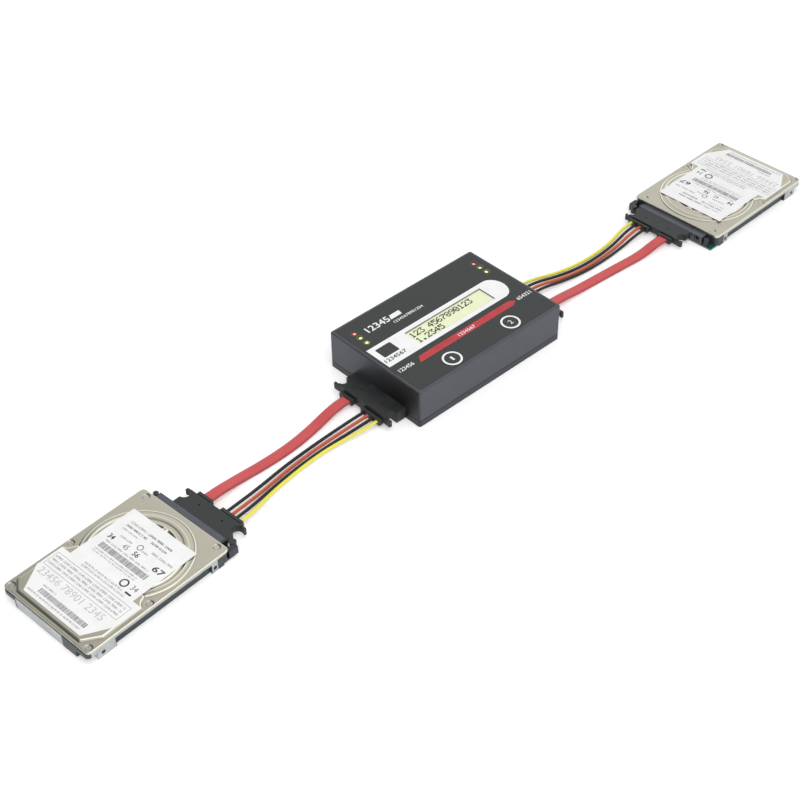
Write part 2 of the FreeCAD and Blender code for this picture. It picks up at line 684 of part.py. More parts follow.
# ---------------------------------------------------------------- power inlet
def power_jack():
    front = BOX_WIDTH / 2 - WALL - SCREW_FIT
    body = block(JACK_X - JACK_WIDTH / 2, JACK_X + JACK_WIDTH / 2, front - JACK_DEPTH, front,
                 BOARD_TOP, BOARD_TOP + JACK_HEIGHT)
    mouth = BOX_WIDTH / 2 - JACK_SET_BACK
    axis = V(JACK_X, front - 1, BOARD_TOP + JACK_AXIS)
    neck = Part.makeCylinder(JACK_NECK_R, mouth - front + 1, axis, V(0, 1, 0))
    floor = V(JACK_X, mouth - JACK_BORE_DEPTH, BOARD_TOP + JACK_AXIS)
    bore = Part.makeCylinder(JACK_BORE_R, JACK_BORE_DEPTH, floor, V(0, 1, 0))
    return fused(body, [neck]).cut(bore)


def power_jack_pin():
    floor = BOX_WIDTH / 2 - JACK_SET_BACK - JACK_BORE_DEPTH
    root = V(JACK_X, floor, BOARD_TOP + JACK_AXIS)
    pin = Part.makeCylinder(JACK_PIN_R, JACK_BORE_DEPTH - 1, root, V(0, 1, 0))
    return round_edges(pin, JACK_PIN_R / 2, lambda edge: edge.BoundBox.YMin > floor + JACK_PIN_R)


# ---------------------------------------------------------------- SATA connectors
def tongues(x0, x1, centre, z, grow=0.0, rise=0.0):
    """The two L-shaped tongues, or with grow the slots they enter. Feet point down."""
    shapes = []
    for middle, width in ((DATA_T, DATA_TONGUE), (POWER_T, POWER_TONGUE)):
        low = centre + middle - width / 2
        high = centre + middle + width / 2
        under = z - TONGUE / 2 - grow
        blade = block(x0, x1, low - grow, high + grow, under, z + TONGUE / 2 + max(grow, rise))
        foot = block(x0, x1, low - grow, low + TONGUE + grow, under - TONGUE_FOOT, z)
        shapes.append(fused(blade, [foot]))
    return shapes


def pin_places(centre):
    """Where the 7 data and 15 power contacts lie across the connector."""
    places = []
    for middle, count in ((DATA_T, DATA_PIN_COUNT), (POWER_T, POWER_PIN_COUNT)):
        places += [centre + middle + (i - (count - 1) / 2) * PIN_PITCH for i in range(count)]
    return places


def contact_row(x0, x1, centre, z0, z1):
    half = CONTACT_WIDTH / 2
    return [block(x0, x1, y - half, y + half, z0, z1) for y in pin_places(centre)]


def tongue_contacts(x0, x1, centre, z):
    """Flat pads along the top of the tongues."""
    return contact_row(x0, x1, centre, z + TONGUE / 2, z + TONGUE / 2 + CONTACT)


def slot_contacts(x0, x1, centre, z):
    """Beams along the roof of the slots, just above the pads they meet."""
    low = z + TONGUE / 2 + CONTACT + BEAM_GAP
    return contact_row(x0, x1, centre, low, low + BEAM)


def box_socket():
    """The board socket in plug-frame coordinates: body inside the wall, nose through it."""
    inside = WALL + NOSE_FIT
    half = SOCKET_BODY_WIDTH / 2
    low = SOCKET_Z - SOCKET_BODY_HEIGHT / 2
    body = block(inside, inside + SOCKET_BODY_DEPTH, -half, half, low, low + SOCKET_BODY_HEIGHT)
    nose = block(-NOSE_LENGTH, inside, -NOSE_WIDTH / 2, NOSE_WIDTH / 2,
                 SOCKET_Z - NOSE_HEIGHT / 2, SOCKET_Z + NOSE_HEIGHT / 2)
    nose = round_edges(nose, NOSE_R, lambda edge: edge.BoundBox.XLength > NOSE_LENGTH)
    slots = tongues(-NOSE_LENGTH, SLOT_DEPTH - NOSE_LENGTH, 0, SOCKET_Z, TONGUE_FIT, SLOT_RISE)
    return fused(body, [nose]).cut(slots)


def socket_contacts():
    rows = []
    back = WALL + NOSE_FIT + SOCKET_BODY_DEPTH
    for frame in PLUG_FRAMES.values():
        row = slot_contacts(0.5 - NOSE_LENGTH, SLOT_DEPTH - NOSE_LENGTH, 0, SOCKET_Z)
        row += contact_row(back, back + TAIL_LENGTH, 0, BOARD_TOP, BOARD_TOP + BEAM)
        rows += [placed(pin, frame) for pin in row]
    return Part.makeCompound(rows)


def plate_with_hooks(front, way, centre, width, length, low, high, notch_s, tip):
    """The flat grip plate of a cable connector: two barbed hooks beside round finger notches."""
    half = width / 2
    back = front + way * length
    plate = block(front, back, centre - half + 1, centre + half - 1, low, high)
    root = half - HOOK_ROOT
    hooks = []
    notches = []
    for side in (-1, 1):
        arm = [(length - HOOK_ARM, root), (length - HOOK_ARM, half - 1), (length - HOOK_TIP_WIDTH, tip - 1)]
        arm += [(length - HOOK_TIP_WIDTH, tip), (length, tip), (length + HOOK_BARB, tip - 1), (length, root)]
        hooks.append(prism([(front + way * s, centre + side * t) for s, t in arm], low, high - HOOK_DROP))
        notches.append(rod(NOTCH_R, low, high, front + way * notch_s, centre + side * (half - NOTCH_INSET)))
    holes = [rod(HOLE_R, low - 1, high + 1, front + way * HOLE_S, centre + t) for t in HOLE_T]
    return fused(plate, hooks).cut(notches), holes


def relief(x0, x1, centre, span, z):
    """A strain relief flange, with a gap across its top where it meets the grip plate."""
    low = z - RELIEF_HEIGHT / 2
    body = block(x0, x1, centre + span[0], centre + span[1], low, low + RELIEF_HEIGHT)
    body = round_edges(body, RELIEF_EDGE_R, lambda edge: edge.BoundBox.XLength > abs(x1 - x0) / 2)
    top = low + RELIEF_HEIGHT
    gap_x = x0 + math.copysign(RELIEF_GAP, x1 - x0)
    gap = block(x0, gap_x, centre + span[0] - 1, centre + span[1] + 1, top - RELIEF_GAP_DEPTH, top + 1)
    return body.cut(gap)


def cable_plug():
    """The box end of a cable, in plug-frame coordinates: a shroud with tongues inside."""
    half = PLUG_WIDTH / 2
    low = SOCKET_Z - PLUG_HEIGHT / 2
    high = SOCKET_Z + PLUG_HEIGHT / 2
    shroud = block(0, -PLUG_BLOCK, -half, half, low, high)
    shroud = round_edges(shroud, PLATE_EDGE_R, lambda edge: edge.BoundBox.XLength > PLUG_BLOCK / 2)
    args = (PLUG_WIDTH, PLUG_LENGTH, high - PLUG_PLATE, high, PLUG_NOTCH_S, PLUG_HOOK_TIP)
    plate, holes = plate_with_hooks(0, -1, 0, *args)
    reliefs = [relief(-PLUG_LENGTH, -PLUG_LENGTH - PLUG_RELIEF, 0, span, PLUG_CABLE_Z)
               for span in (DATA_RELIEF, POWER_RELIEF)]
    web_low = PLUG_CABLE_Z - RELIEF_HEIGHT / 2
    web = block(-PLUG_BLOCK, -PLUG_LENGTH, HOOK_ROOT - half, half - HOOK_ROOT, web_low, high - PLUG_PLATE)
    cavity_y = NOSE_WIDTH / 2 + PLUG_CAVITY_FIT
    cavity_z = NOSE_HEIGHT / 2 + PLUG_CAVITY_FIT
    cavity = block(0, -PLUG_CAVITY, -cavity_y, cavity_y, SOCKET_Z - cavity_z, SOCKET_Z + cavity_z)
    body = fused(shroud, [plate, web] + reliefs).cut([cavity] + holes)
    return fused(body, tongues(-PLUG_CAVITY, -PLUG_TONGUE_SET_BACK, 0, SOCKET_Z))


def cable_receptacle():
    """The drive end of a cable, in drive-frame coordinates: a slotted body that takes the tongues."""
    half = HEAD_WIDTH / 2
    low = HEAD_Z - HEAD_HEIGHT / 2
    high = HEAD_Z + HEAD_HEIGHT / 2
    body = block(HEAD_FRONT, HEAD_FRONT + HEAD_BLOCK, HEAD_T - half, HEAD_T + half, low, high)
    body = round_edges(body, PLATE_EDGE_R, lambda edge: edge.BoundBox.XLength > HEAD_BLOCK / 2)
    args = (HEAD_WIDTH, HEAD_LENGTH, low, high, HEAD_NOTCH_S, HEAD_HOOK_TIP)
    plate, holes = plate_with_hooks(HEAD_FRONT, 1, HEAD_T, *args)
    back = HEAD_FRONT + HEAD_LENGTH
    reliefs = [relief(back, back + HEAD_RELIEF, HEAD_T, span, HEAD_CABLE_Z)
               for span in (DATA_RELIEF, POWER_RELIEF)]
    slots = tongues(HEAD_FRONT, HEAD_FRONT + SLOT_DEPTH, HEAD_T, HEAD_Z, TONGUE_FIT, SLOT_RISE)
    return fused(body, [plate] + reliefs).cut(slots + holes)


def cable_contacts(side):
    """The pads on the plug's tongues and the beams in the receptacle's slots."""
    pads = tongue_contacts(-PLUG_CAVITY, -PLUG_TONGUE_SET_BACK - 0.6, 0, SOCKET_Z)
    beams = slot_contacts(HEAD_FRONT + 0.5, HEAD_FRONT + SLOT_DEPTH, HEAD_T, HEAD_Z)
    pads = [placed(pad, PLUG_FRAMES[side]) for pad in pads]
    beams = [placed(beam, DRIVE_FRAMES[side]) for beam in beams]
    return Part.makeCompound(pads + beams)


# ---------------------------------------------------------------- cables
def cord_points(side, name):
    """The whole route: a straight lead out of each connector, and the middle points between."""
    t = RIBBON_T if name == "data_cable" else WIRE_T[name]
    plug = PLUG_FRAMES[side]
    drive = DRIVE_FRAMES[side]
    plug_back = -PLUG_LENGTH - PLUG_RELIEF
    head_back = HEAD_FRONT + HEAD_LENGTH + HEAD_RELIEF
    start = point_in(plug, plug_back, t, PLUG_CABLE_Z)
    start_lead = point_in(plug, plug_back - LEAD, t, PLUG_CABLE_Z)
    end_lead = point_in(drive, head_back + LEAD, HEAD_T + t, HEAD_CABLE_Z)
    end = point_in(drive, head_back, HEAD_T + t, HEAD_CABLE_Z)
    middle = [V(*point) for point in ROUTES[side][name]]
    return [start, start_lead] + middle + [end_lead, end]


def cord_path(points):
    """Straight runs joined by tangent arcs, each as large as its two runs allow."""
    edges = []
    radii = []
    last = points[0]
    for before, corner, after in zip(points, points[1:], points[2:]):
        inward = (corner - before).normalize()
        outward = (after - corner).normalize()
        reach = 0.45 * min(before.distanceToPoint(corner), corner.distanceToPoint(after))
        half_turn = inward.getAngle(outward) / 2
        radius = reach / math.tan(half_turn)
        start = corner - inward * reach
        end = corner + outward * reach
        towards = (outward - inward).normalize()
        middle = corner + towards * radius * (1 / math.cos(half_turn) - 1)
        edges.append(Part.LineSegment(last, start).toShape())
        edges.append(Part.Arc(start, middle, end).toShape())
        radii.append(radius)
        last = end
    edges.append(Part.LineSegment(last, points[-1]).toShape())
    return Part.Wire(edges), radii


def cord(side, name):
    points = cord_points(side, name)
    path, radii = cord_path(points)
    along = (points[1] - points[0]).normalize()
    if name == "data_cable":
        across = V(0, RIBBON_WIDTH / 2, 0)
        up = V(0, 0, RIBBON_HEIGHT / 2)
        corners = [points[0] + across * i + up * j for i, j in ((-1, -1), (1, -1), (1, 1), (-1, 1))]
        section = Part.makePolygon(corners + [corners[0]])
        area = RIBBON_WIDTH * RIBBON_HEIGHT
    else:
        section = Part.Wire(Part.Circle(points[0], along, WIRE_R).toShape())
        area = math.pi * WIRE_R ** 2
    sweep = Part.BRepOffsetAPI.MakePipeShell(path)
    if name == "data_cable":
        sweep.setBiNormalMode(V(0, 0, 1))
    sweep.add(section)
    sweep.build()
    sweep.makeSolid()
    tube = sweep.shape()
    ratio = tube.Volume / (area * path.Length)
    print(side, name, "length", round(path.Length, 1), "volume/ideal", round(ratio, 4),
          "radii", [round(radius) for radius in radii])
    return tube


# ---------------------------------------------------------------- 2.5 inch drive
def lid_screw_places():
    return [(x, side * y) for x, y in zip(LID_SCREW_X, LID_SCREW_Y) for side in (-1, 1)]


def bolt_holes():
    """Four tapped holes in the underside and two in each long side."""
    cuts = []
    inward = V(0, 1, 0)
    for from_end in BOLT_FROM_END:
        x = STRIP_OUT - from_end
        for side in (-1, 1):
            cuts.append(rod(BOLT_R, 0, BOLT_DEPTH, x, side * BOLT_Y))
            edge = V(x, side * (DRIVE_WIDTH / 2 - BASE_INSET), SIDE_BOLT_Z)
            cuts.append(Part.makeCylinder(BOLT_R, SIDE_BOLT_DEPTH, edge, inward * -side))
    return cuts


def drive_base():
    """The cast base: a rim and side lugs, a board pocket below and cut away far corners."""
    half = DRIVE_WIDTH / 2 - BASE_INSET
    top = LID_TOP - LID
    base = slab(BASE_FAR - BASE_NEAR, 2 * half, 0, top, LID_CORNER_R, -(BASE_FAR + BASE_NEAR) / 2, 0)
    pocket_y = DRIVE_BOARD_WIDTH / 2 + BOARD_POCKET_FIT
    board_top = DRIVE_BOARD_Z + DRIVE_BOARD
    cuts = [block(DRIVE_BOARD_X[0] - BOARD_POCKET_FIT, 0, -pocket_y, pocket_y, 0, board_top)]
    cuts.append(block(BOARD_WING_X - BOARD_POCKET_FIT, 0, -DRIVE_WIDTH, DRIVE_WIDTH, 0, board_top))
    cuts.append(block(-STRIP_IN, 0, STRIP_Y[0] - STRIP_FIT, STRIP_Y[1] + STRIP_FIT, 0, top))
    for side in (-1, 1):
        flank = side * half
        cuts.append(block(*SIDE_RELIEF_X, flank - side * SIDE_RELIEF, flank + side, 0, SIDE_RELIEF_TOP))
        cuts.append(block(-BASE_FAR, -FAR_CORNER, side * FAR_CORNER_Y, flank + side, 0, FAR_CORNER_TOP))
    for x, y in lid_screw_places():
        low = LID_SCREW_SEAT_Z - LID_SCREW_LENGTH - THREAD_FIT
        cuts.append(rod(LID_SCREW_SHANK + THREAD_FIT, low, top, x, y))
    return base.cut(cuts + bolt_holes())


def drive_lid():
    """The stamped lid: a rounded plate with a raised plateau and disc, arcs and screw seats."""
    top = LID_TOP
    lid = slab(LID_LENGTH, DRIVE_WIDTH, top - LID, top, LID_CORNER_R, -LID_LENGTH / 2, 0)
    lid = round_edges(lid, LID_EDGE_R, level_edges(top))
    outline = [(-PLATEAU_NEAR, -PLATEAU_NEAR_Y), (-PLATEAU_NEAR, PLATEAU_NEAR_Y), (-PLATEAU_WING, PLATEAU_Y)]
    outline += [(-PLATEAU_BACK, PLATEAU_Y), (-PLATEAU_FAR, PLATEAU_FAR_Y), (-PLATEAU_FAR, -PLATEAU_FAR_Y)]
    outline += [(-PLATEAU_FRONT, -PLATEAU_Y), (-PLATEAU_WING, -PLATEAU_Y)]
    disc = rod(DISC_R, top, PLATEAU_TOP, DISC_X, 0)
    lid = fused(lid, [prism(outline, top, PLATEAU_TOP), disc])
    low = PLATEAU_TOP - LID_GROOVE_DEPTH
    sector = prism([(DISC_X, 0), (0, LABEL_PANEL_Y), (0, -LABEL_PANEL_Y)], low, PLATEAU_TOP)
    cuts = []
    for radius in DISC_STEP_R:
        inside = rod(radius - DISC_GROOVE, low, PLATEAU_TOP, DISC_X, 0)
        cuts.append(rod(radius, low, PLATEAU_TOP, DISC_X, 0).cut(inside).common(sector))
    for x, y in lid_screw_places():
        cuts.append(rod(LID_SCREW_R + 0.5, LID_SCREW_SEAT_Z, top + 1, x, y))
        cuts.append(rod(LID_SCREW_SHANK + THREAD_FIT, top - LID, top, x, y))
    return lid.cut(cuts)


def drive_label():
    """Paper label: a panel with a wing on each side, tapered towards the far end."""
    half = [(LABEL_NEAR, LABEL_PANEL_Y), (LABEL_WING, LABEL_PANEL_Y), (LABEL_WING, LABEL_WING_Y)]
    half += [(LABEL_TAPER, LABEL_WING_Y), (LABEL_FAR, LABEL_END_Y)]
    outline = [(-x, y) for x, y in half] + [(-x, -y) for x, y in reversed(half)]
    return prism(outline, PLATEAU_TOP, PLATEAU_TOP + LABEL)


def drive_board():
    """The circuit board: a panel that widens to the whole drive along the connector."""
    half = DRIVE_BOARD_WIDTH / 2
    top = DRIVE_BOARD_Z + DRIVE_BOARD
    panel = block(*DRIVE_BOARD_X, -half, half, DRIVE_BOARD_Z, top)
    wings = block(BOARD_WING_X, DRIVE_BOARD_X[1], -BOARD_WING_Y, BOARD_WING_Y, DRIVE_BOARD_Z, top)
    return fused(panel, [wings])


def drive_connector():
    """The strip across the drive's end, with its jumper pocket, an ear at each side and two tongues."""
    low = DRIVE_BOARD_Z + DRIVE_BOARD
    strip = block(-STRIP_IN, STRIP_SHELF, *STRIP_Y, low, STRIP_TOP)
    middle = JUMPER_Y + JUMPER_PITCH / 2
    reach = JUMPER_POCKET / 2
    sides = (middle - reach, middle + reach, HEAD_Z - reach, HEAD_Z + reach)
    pocket = block(JUMPER_POCKET_X, STRIP_SHELF, *sides)
    parts = tongues(STRIP_OUT, TONGUE_TIP, HEAD_T, HEAD_Z)
    parts.append(rod(BACK_POST_R, low, EAR_TOP, *BACK_POST))
    parts.append(rod(FRONT_POST_R, low, EAR_TOP, *FRONT_POST))
    parts.append(block(*FRONT_EAR_X, *FRONT_EAR_Y, low, FRONT_EAR_TOP))
    parts.append(block(*EAR_BRIDGE_X, FRONT_EAR_Y[1], BACK_POST[1], low, low + EAR_BRIDGE))
    return fused(strip.cut(pocket), parts)


def drive_contacts():
    """The pads on the drive's tongues and the four jumper pins in their pocket."""
    pads = tongue_contacts(STRIP_SHELF, TONGUE_TIP - 0.8, HEAD_T, HEAD_Z)
    half = JUMPER_PIN / 2
    for i in (0, 1):
        for j in (-0.5, 0.5):
            y = JUMPER_Y + i * JUMPER_PITCH
            z = HEAD_Z + j * JUMPER_PITCH
            pin_end = STRIP_SHELF - JUMPER_SET_BACK
            pads.append(block(JUMPER_POCKET_X, pin_end, y - half, y + half, z - half, z + half))
    return Part.makeCompound(pads)


def drive_screws():
    args = (LID_SCREW_R, LID_SCREW_HEAD, LID_SCREW_SHANK, LID_SCREW_LENGTH, True)
    return Part.makeCompound([screw(x, y, LID_SCREW_SEAT_Z, *args) for x, y in lid_screw_places()])


# ---------------------------------------------------------------- all nodes
def main():
    os.makedirs("parts", exist_ok=True)
    save("bottom_tray", bottom_tray())
    save("top_cover", top_cover())
    save("front_overlay", front_overlay())
    for name, x in zip(("left", "right"), BUTTON_X):
        save(name + "_button_pad", button_pad(x))
        save(name + "_button_key", button_key(x))
        save(name + "_switch_plunger", switch_plunger(x))
    save("tact_switches", tact_switches())
    save("red_leds", leds((1,)))
    save("green_leds", leds((0, -1)))
    save("led_legs", led_legs())
    save("main_board", main_board())
    save("board_chips", board_chips())
    save("board_capacitors", board_capacitors())
    save("case_screws", case_screws())
    save("board_screws", board_screws())
    save("lcd_bezel", lcd_bezel())
    save("lcd_glass", lcd_glass())
    save("lcd_backlight", lcd_backlight())
    save("lcd_board", lcd_board())
    save("lcd_header", lcd_header())
    save("lcd_screws", lcd_screws())
    save("power_jack", power_jack())
    save("power_jack_pin", power_jack_pin())
    save("socket_contacts", socket_contacts())
    for side in ("source", "target"):
        plug = PLUG_FRAMES[side]
        drive = DRIVE_FRAMES[side]
        save(side + "_socket", placed(box_socket(), plug))
        save(side + "_plug", placed(cable_plug(), plug))
        save(side + "_receptacle", placed(cable_receptacle(), drive))
        save(side + "_cable_contacts", cable_contacts(side))
        for name in ROUTES[side]:
            save(side + "_" + name, cord(side, name))
        save(side + "_drive_base", placed(drive_base(), drive))
        save(side + "_drive_lid", placed(drive_lid(), drive))
        save(side + "_drive_label", placed(drive_label(), drive))
        save(side + "_drive_board", placed(drive_board(), drive))
        save(side + "_drive_connector", placed(drive_connector(), drive))
        save(side + "_drive_contacts", placed(drive_contacts(), drive))
        save(side + "_drive_screws", placed(drive_screws(), drive))


main()
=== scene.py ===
"""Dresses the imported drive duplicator: cords, finishes, printed film, display, lids and labels."""
import json
import math

import bpy
import numpy as np
from bpy.props import FloatProperty, FloatVectorProperty, PointerProperty
from mathutils import Matrix, Vector


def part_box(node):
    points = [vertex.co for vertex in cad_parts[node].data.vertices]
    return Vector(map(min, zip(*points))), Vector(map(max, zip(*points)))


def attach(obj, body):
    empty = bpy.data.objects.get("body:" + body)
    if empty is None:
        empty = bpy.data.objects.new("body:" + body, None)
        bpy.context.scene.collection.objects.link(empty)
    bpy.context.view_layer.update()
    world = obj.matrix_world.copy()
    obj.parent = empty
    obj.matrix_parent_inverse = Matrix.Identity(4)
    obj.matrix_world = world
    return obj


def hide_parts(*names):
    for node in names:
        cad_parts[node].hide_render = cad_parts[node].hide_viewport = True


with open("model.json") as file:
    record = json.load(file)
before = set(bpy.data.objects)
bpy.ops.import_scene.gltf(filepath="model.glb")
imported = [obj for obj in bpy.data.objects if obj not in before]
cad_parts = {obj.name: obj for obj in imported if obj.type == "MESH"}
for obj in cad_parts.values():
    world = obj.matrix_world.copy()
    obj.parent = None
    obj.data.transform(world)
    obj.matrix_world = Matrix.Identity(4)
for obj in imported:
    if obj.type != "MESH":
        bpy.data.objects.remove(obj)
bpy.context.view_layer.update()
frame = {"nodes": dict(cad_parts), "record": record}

bl_info = {
    "name": "Drive Duplicator Looks",
    "version": (1, 0, 0),
    "blender": (4, 5, 0),
    "location": "View3D > Sidebar > Duplicator",
    "description": "Builds the cords, print, lids, labels and finishes of a pocket drive duplicator",
    "category": "Object",
}

MM = 0.001
SIDES = ("source", "target")
PRINT_LIFT = 0.01 * MM
BOLT_TO_LID_EDGE = 10.6 * MM
LID_LENGTH = 96.8 * MM
LID_WIDTH = 69.85 * MM
WINDOW_HALF = (32.0 * MM, 6.95 * MM, 0)


# ---------------------------------------------------------------- places from the frame
def mount_place(name):
    """A mount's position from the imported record."""
    return Vector(next(m["pos_m"] for m in frame["record"]["mounts"] if m["name"] == name))


def drive_frame(side):
    """(origin, X direction) of a drive: the lid's connector edge at floor height, X out of the connector."""
    near = mount_place(side + "_drive_near_bottom_bolts")
    far = mount_place(side + "_drive_far_bottom_bolts")
    along = (near - far).normalized()
    return near + along * BOLT_TO_LID_EDGE, along


def plug_frame(side):
    """(origin, X direction) of a box-end connector: the box wall at floor height, X into the wall."""
    low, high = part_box(side + "_socket")
    wall_low, wall_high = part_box("top_cover")
    x, into = (wall_low.x, 1) if side == "source" else (wall_high.x, -1)
    return Vector((x, (low.y + high.y) / 2, 0)), Vector((into, 0, 0))


def in_frame(place, x, y, z):
    """A point given along, across and above a frame."""
    origin, along = place
    across = Vector((-along.y, along.x, 0))
    return origin + along * x + across * y + Vector((0, 0, z))


def to_frame(place, points):
    """The same for an array of points."""
    origin, along = place
    turn = np.array([[along.x, along.y, 0], [-along.y, along.x, 0], [0, 0, 1]])
    return points @ turn + np.array(origin)


# ---------------------------------------------------------------- colours and nodes
def linear(code):
    """An sRGB hex colour as the linear colour that shaders take."""
    channels = [int(code[i:i + 2], 16) / 255 for i in (1, 3, 5)]
    return [c / 12.92 if c <= 0.04045 else ((c + 0.055) / 1.055) ** 2.4 for c in channels] + [1.0]


def tone(value, share=1.0):
    """A colour socket's value from a hex code or a setting, made darker by a share."""
    base = linear(value) if isinstance(value, str) else value
    return [c * share for c in base[:3]] + [1.0]


def feed(node, socket, source):
    """Links an output, or a node's first output, to a socket."""
    if isinstance(source, bpy.types.Node):
        source = source.outputs[0]
    node.id_data.links.new(source, node.inputs[socket])


def add(tree, kind, inputs=None, **settings):
    """One node with its settings; inputs maps a socket to a value, or to the node or output that feeds it."""
    node = tree.nodes.new(kind)
    for key, value in settings.items():
        setattr(node, key, value)
    for key, value in (inputs or {}).items():
        if isinstance(value, (bpy.types.Node, bpy.types.NodeSocket)):
            feed(node, key, value)
        else:
            node.inputs[key].default_value = value
    return node


def finish(name, inputs):
    """A material with one Principled shader: even values go on the shader's own sockets."""
    material = bpy.data.materials.new(name)
    material.use_nodes = True
    tree = material.node_tree
    tree.nodes.clear()
    shader = add(tree, "ShaderNodeBsdfPrincipled", inputs)
    add(tree, "ShaderNodeOutputMaterial", {"Surface": shader.outputs[0]})
    return material, tree, shader


def grain(tree, size, detail=2.0):
    """Noise whose lumps are about size millimetres across, on Object coordinates."""
    place = add(tree, "ShaderNodeTexCoord").outputs["Object"]
    return add(tree, "ShaderNodeTexNoise", {"Vector": place, "Scale": 1 / (size * MM), "Detail": detail})


def between(tree, factor, dark, light, low=0.3, high=0.7):
    """A colour that runs from dark to light as the factor goes from low to high."""
    share = add(tree, "ShaderNodeMapRange", {"Value": factor, "From Min": low, "From Max": high})
    return add(tree, "ShaderNodeMix", {0: share, 6: dark, 7: light}, data_type="RGBA").outputs[2]


def texture(tree, shader, fine, depth, detail=2.0, lumps=None, roughness=None):
    """Bump of a real depth from grain of a real size, both in millimetres. Where lumps are given, the
    roughness wanders over them, from its low to its high value."""
    height = grain(tree, fine, detail)
    bump = add(tree, "ShaderNodeBump", {"Height": height, "Distance": depth * MM, "Strength": 1.0})
    feed(shader, "Normal", bump)
    if lumps is not None:
        low, high = roughness
        sockets = {"Value": lumps, "From Min": 0.3, "From Max": 0.7, "To Min": low, "To Max": high}
        feed(shader, "Roughness", add(tree, "ShaderNodeMapRange", sockets))


def drive_axes(tree, side):
    """Object coordinates turned into a drive's own: along, across and above."""
    origin, along = drive_frame(side)
    turned = add(tree, "ShaderNodeMapping", {"Vector": add(tree, "ShaderNodeTexCoord").outputs["Object"],
                                             "Location": origin,
                                             "Rotation": (0, 0, math.atan2(along.y, along.x))},
                 vector_type="TEXTURE")
    return add(tree, "ShaderNodeSeparateXYZ", {0: turned}).outputs


def mottled(name, dark, light, roughness, size, depth, metallic=0.0, fine=None):
    """A surface whose colour and roughness wander a little over lumps of one size, with bump of a depth;
    both are in millimetres, like the size of the bump's fine grain."""
    material, tree, shader = finish(name, {"Metallic": metallic})
    broad = grain(tree, size)
    feed(shader, "Base Color", between(tree, broad, tone(dark), tone(light)))
    texture(tree, shader, fine or size / 4, depth, 4.0, broad, roughness)
    return material, tree, shader


def ink(name, base, speck):
    """Screen ink: opaque and matt, its coverage a little uneven at close range. It also colours the painted
    shadow of the display's frame.
    """
    return mottled(name, base, speck, (0.45, 0.55), 8, 0.01, fine=0.6)[0]


# ---------------------------------------------------------------- meshes
def quads(rows, columns, closed=False):
    """Faces of a grid whose points are numbered row by row; each row may close on itself."""
    i, j = np.meshgrid(np.arange(rows - 1), np.arange(columns if closed else columns - 1), indexing="ij")
    here, beside = i * columns + j, i * columns + (j + 1) % columns
    return np.stack([here, here + columns, beside + columns, beside], -1).reshape(-1, 4)


def placed(name, data):
    """A new object in the scene."""
    obj = bpy.data.objects.new(name, data)
    bpy.context.scene.collection.objects.link(obj)
    return obj


def as_mesh(obj):
    """The (points, faces) that a curve or a text makes; the object itself goes."""
    bpy.context.view_layer.update()
    mesh = bpy.data.meshes.new_from_object(obj)
    points = np.zeros(len(mesh.vertices) * 3)
    mesh.vertices.foreach_get("co", points)
    faces = [list(face.vertices) for face in mesh.polygons]
    bpy.data.meshes.remove(mesh)
    bpy.data.objects.remove(obj)
    return points.reshape(-1, 3), faces


def piece(name, points, faces, material, body, place=None, smooth=False):
    """A mesh object that rides on a body. Its points are in the row frame, or in a drive's if one is given."""
    points = np.asarray(points, float) if place is None else to_frame(place, points)
    mesh = bpy.data.meshes.new(name)
    mesh.from_pydata(points.tolist(), [], [list(map(int, face)) for face in faces])
    mesh.materials.append(material)
    mesh.polygons.foreach_set("use_smooth", [smooth] * len(mesh.polygons))
    mesh.update()
    obj = placed(name, mesh)
    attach(obj, body)
    return obj


def plates(name, outlines, z, material, body, place=None):
    """Thin printed areas: each outline of x, y points is one flat face at height z, facing up."""
    points, faces, first = [], [], 0
    for outline in outlines:
        flat = np.asarray(outline, float)
        area = np.sum(flat[:, 0] * np.roll(flat[:, 1], -1) - flat[:, 1] * np.roll(flat[:, 0], -1))
        flat = flat if area > 0 else flat[::-1]
        points.append(np.column_stack([flat, np.full(len(flat), z)]))
        faces.append(range(first, first + len(flat)))
        first += len(flat)
    return piece(name, np.concatenate(points), faces, material, body, place)


def oblong(x0, x1, y0, y1):
    """The four corners of a rectangle."""
    return np.array([(x0, y0), (x1, y0), (x1, y1), (x0, y1)])


def arc(x, y, radius, start, end, steps):
    """Points on a circle from the start angle to the end angle, in degrees."""
    t = np.radians(np.linspace(start, end, steps))
    return np.column_stack([x + radius * np.cos(t), y + radius * np.sin(t)])


def rounded(x0, x1, y0, y1, radius):
    """A rectangle whose corners are quarter circles."""
    corners = [(x1 - radius, y1 - radius, 0), (x0 + radius, y1 - radius, 90)]
    corners += [(x0 + radius, y0 + radius, 180), (x1 - radius, y0 + radius, 270)]
    return np.concatenate([arc(x, y, radius, a, a + 90, 8) for x, y, a in corners])


def annulus(x, y, inner, outer, steps=64):
    """A ring as a strip of four-sided faces between two circles: outlines for plates()."""
    t = np.linspace(0, 2 * np.pi, steps + 1)
    ring = np.column_stack([np.cos(t), np.sin(t)])
    a, b = ring[:-1], ring[1:]
    return [np.array([(x, y) + inner * p, (x, y) + outer * p, (x, y) + outer * q, (x, y) + inner * q])
            for p, q in zip(a, b)]


def lettering(words, bold):
    """Plain figures as a flat mesh (points, faces), scaled into the unit square."""
    curve = bpy.data.curves.new("figures", "FONT")
    curve.body = words
    curve.offset = bold
    curve.resolution_u = 3
    curve.fill_mode = "FRONT"
    points, faces = as_mesh(placed("figures", curve))
    flat = points[:, :2]
    return (flat - flat.min(0)) / (flat.max(0) - flat.min(0)), faces


